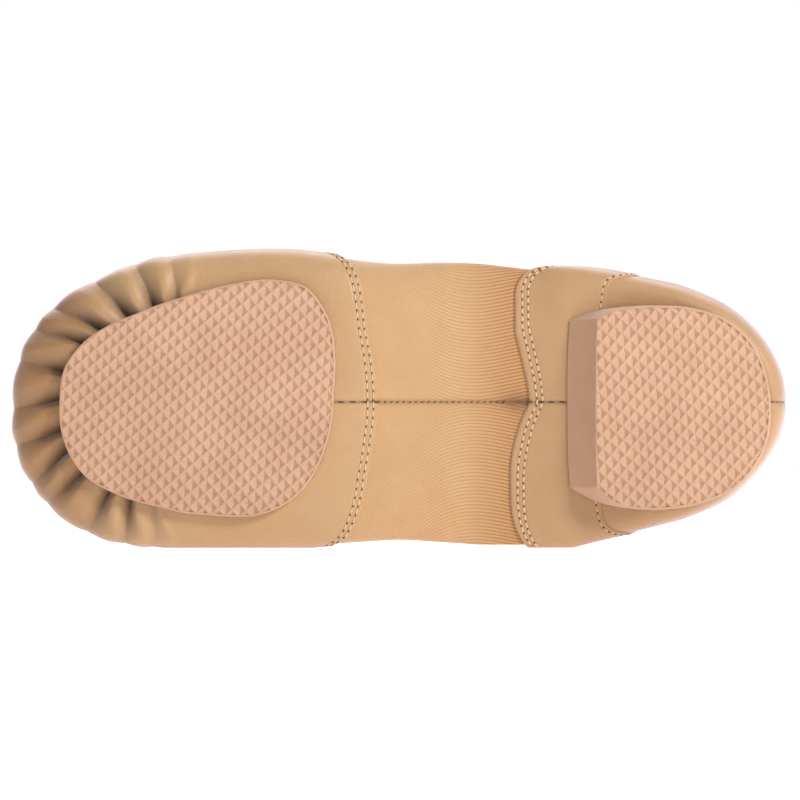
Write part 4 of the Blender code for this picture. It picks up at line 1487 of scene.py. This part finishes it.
def stitch_places(lines, pitch):
    """Places, directions along and directions out for the stitches on some lines."""
    places, alongs, outs = [], [], []
    for line in lines:
        points = resampled(line, max(2, round(travel(line)[-1] / pitch)))
        tangents = unit(np.gradient(points, axis=0))
        for point, tangent in zip(points, tangents):
            found, normal, _, _ = OUTSIDE.find_nearest(Vector(point))
            out = np.array(normal)
            if np.dot(out, np.array(found) - np.array([found[0], 0.0, INNER_HEIGHT])) < 0:
                out = -out
            places.append(point - out * STITCH_SINK)
            alongs.append(tangent)
            outs.append(out)
    return np.array(places), np.array(alongs), np.array(outs)


def stitch_growth(name, thread, hole):
    """Tree that puts a thread on every point, and a dark bead of painted shade for a needle hole halfway to
    the next one.
    """
    growth = Growth(name, EVEN)
    given = growth.value
    out, along = (
        growth.add("GeometryNodeInputNamedAttribute", {"data_type": "FLOAT_VECTOR"}, {"Name": label})
        for label in ("out", "along")
    )
    turn = growth.add("FunctionNodeAxesToRotation", {"primary_axis": "Z", "secondary_axis": "X"},
                      {"Primary Axis": out, "Secondary Axis": along})

    def beads(points, lengthwise, crosswise):
        """A smooth bead on every point, turned along its seam."""
        ball = growth.add("GeometryNodeMeshUVSphere", sockets={"Segments": 8, "Rings": 6, "Radius": 0.5})
        size = growth.vector(X=lengthwise, Y=crosswise, Z=crosswise)
        fit = growth.add("GeometryNodeTransform", sockets={"Geometry": ball, "Scale": size})
        smooth = growth.add("GeometryNodeSetShadeSmooth", sockets={"Geometry": fit})
        return growth.add("GeometryNodeInstanceOnPoints", sockets={
            "Points": points, "Instance": smooth, "Rotation": turn})

    threads = beads(given("Start"), given("Length"), given("Thickness"))
    step = growth.maths("MULTIPLY", given("Spacing"), 0.5)
    shift = growth.add("ShaderNodeVectorMath", {"operation": "SCALE"}, {0: along, "Scale": step})
    moved = growth.add("GeometryNodeSetPosition", sockets={"Geometry": given("Start"), "Offset": shift})
    growth.finish((threads, thread), (beads(moved, given("Hole"), given("Hole")), hole))
    return growth


def sew(name, lines, growth, values, slant=0.0):
    """Rows of stitches along some lines, as a finished mesh. Slanted ones cross their line at an angle."""
    places, alongs, outs = stitch_places(lines, values["Spacing"])
    alongs = alongs * math.cos(slant) + np.cross(outs, alongs) * math.sin(slant)
    turn = np.array(((-1, 0, 0), (0, 0, 1), (0, 1, 0)), float)
    start = mesh_of(name + "_places", to_frame(places))
    for label, vectors in (("along", alongs), ("out", outs)):
        layer = start.attributes.new(label, "FLOAT_VECTOR", "POINT")
        layer.data.foreach_set("vector", (vectors @ turn.T).astype(np.float32).ravel())
    return linked(name, growth.grow(name, start, values))


def back_line(start, inset):
    """The line of the back seam, from a level up to the topline."""
    levels = np.linspace(start, 1.0, 300)
    below = levels <= end_level(1, HEEL_POLE, 0.0)
    return on_last(1, HEEL_POLE, 0.0, levels, inset)[below]


def centre_line(start, end, inset):
    """A line along the centre of the underside."""
    along = np.linspace(start, end, 200)
    return np.stack([along, np.zeros_like(along), sole_level(along) + inset], axis=-1)


CREAM_STITCH = stitch_growth("cream_stitches", THREAD, HOLE_SHADE)
DARK_STITCH = stitch_growth("dark_stitches", SHADE, HOLE_SHADE)
band_lines = [seam_line("band", -row) for row in BAND_STITCHES]
vamp_lines = [seam_line("vamp", row) for row in VAMP_STITCHES]
counter_lines = [seam_line("counter", COUNTER_STITCH, SIDE_START, (side,)) for side in (1, -1)]
leather_centre = [centre_line(*VAMP_CENTRE), centre_line(*BAND_CENTRE)]
stitches = [
    sew("band_stitches", band_lines, CREAM_STITCH, EVEN),
    sew("vamp_stitches", vamp_lines, CREAM_STITCH, LONG),
    sew("counter_stitches", counter_lines, CREAM_STITCH, EVEN),
    sew("sole_seam", leather_centre, DARK_STITCH, SUNK),
    sew("back_seam", [back_line(BACK_START, BACK_INSET)], DARK_STITCH, SHORT),
    sew("arch_seam", [centre_line(*KNIT_CENTRE)], DARK_STITCH, SLANTED, STITCH_SLANT),
]

# %% [markdown]
# All pieces belong to one rigid shoe. Each takes the place of the solid that it shows in full.

# %% Pieces on the frame
STANDS_FOR = (
    ("upper", [vamp, knit_arch, heel_band, counter, lining] + stitches),
    ("insole", [insole_board]),
    ("forefoot_pad", pad_pieces),
    ("heel", heel_pieces),
    ("collar_binding", [collar_tape]),
)
for node, group in STANDS_FOR:
    for piece in group:
        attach(piece, "root")
        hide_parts(node)

# %% [markdown]
# The photo is a catalogue picture: the shoe lies on a white light table with a white surround. The
# main light is soft and comes from the front, the right and above, and a wide one from behind lights
# the edges. The camera looks straight at the sole.

# %% Floor, light and camera
MM_PER_PIXEL = 0.3097
PICTURE = 800
VIEW_PLACE = (0.5 * PICTURE + 0.5, 0.5 * PICTURE)
HEEL_PIXEL = 788
CENTRE_PIXEL = 402
CAMERA_DISTANCE = 6.0
CAMERA_LENS = 300.0
FRONT_PLANE = -0.012
FLOOR_HALF = 6.0
WHITE = (1.0, 1.0, 1.0)
FLOOR_GLOW = (0.62, 0.62, 0.62)
ROOM_LIGHT = 0.3
ROOM_SEEN = 1.0
LIT_PLACE = (0, 0, 0.045)

# Columns: name, place, size, watts and colour.
LIGHTS = (
    ("key", (1.15, -1.15, 0.95), 0.5, 24.5, (1.0, 0.985, 0.96)),
    ("rim", (-0.1, 1.1, 1.7), 2.0, 32, (1.0, 0.95, 0.98)),
)


def placed(name, data, matrix):
    """A light or a camera in the scene."""
    holder = bpy.data.objects.new(name, data)
    bpy.context.scene.collection.objects.link(holder)
    holder.matrix_world = matrix
    return holder


def make_floor():
    """A white light table. It looks white to the camera and glows less on the shoe."""
    table_top = Finish("white_table", Roughness=0.9, Emission_Strength=0.82)
    table_top.set("Base Color", (0.9, 0.9, 0.9))
    seen = table_top.node("ShaderNodeLightPath", output="Is Camera Ray")
    table_top.set("Emission Color", table_top.mix(seen, FLOOR_GLOW, WHITE))
    corners = [(x * FLOOR_HALF, y * FLOOR_HALF, 0.0) for x, y in ((-1, -1), (1, -1), (1, 1), (-1, 1))]
    mesh = mesh_of("floor", corners, [(0, 1, 2, 3)])
    mesh.materials.append(table_top.material)
    return linked("floor", mesh)


def make_light(name, place, size, watts, colour):
    """A soft round light that points at the shoe."""
    lamp = bpy.data.lights.new(name, "AREA")
    lamp.shape = "DISK"
    lamp.size = size
    lamp.energy = watts
    lamp.color = colour
    way = Vector(LIT_PLACE) - Vector(place)
    turn = way.to_track_quat("-Z", "Y").to_matrix().to_4x4()
    return placed(name, lamp, Matrix.Translation(place) @ turn)


def make_camera():
    """A camera that looks straight at the sole from far away, framed as in the photo."""
    lens = bpy.data.cameras.new("camera")
    lens.lens = CAMERA_LENS
    lens.sensor_fit = "HORIZONTAL"
    lens.sensor_width = CAMERA_LENS * MM_PER_PIXEL / 1000 * PICTURE / CAMERA_DISTANCE
    lens.clip_start = 0.05
    lens.clip_end = 30
    x = BACK_PLACE - (HEEL_PIXEL - VIEW_PLACE[0]) * MM_PER_PIXEL / 1000
    z = REST_WIDTH + (CENTRE_PIXEL - VIEW_PLACE[1]) * MM_PER_PIXEL / 1000
    place = Matrix.Translation((x, FRONT_PLANE - CAMERA_DISTANCE, z))
    return placed("camera", lens, place @ Matrix.Rotation(math.pi / 2, 4, "X"))


make_floor()
for row in LIGHTS:
    make_light(*row)
bpy.context.scene.camera = make_camera()
world = bpy.data.worlds.new("white_room")
bpy.context.scene.world = world
world.use_nodes = True
room = world.node_tree
background = room.nodes["Background"]
seen = add_node(room, "ShaderNodeLightPath", output="Is Camera Ray")
sockets = {"Value": seen, "To Min": ROOM_LIGHT, "To Max": ROOM_SEEN}
strength = add_node(room, "ShaderNodeMapRange", sockets=sockets, output="Result")
plug(room, WHITE, background.inputs["Color"])
plug(room, strength, background.inputs["Strength"])
bpy.context.scene.view_settings.view_transform = "Standard"
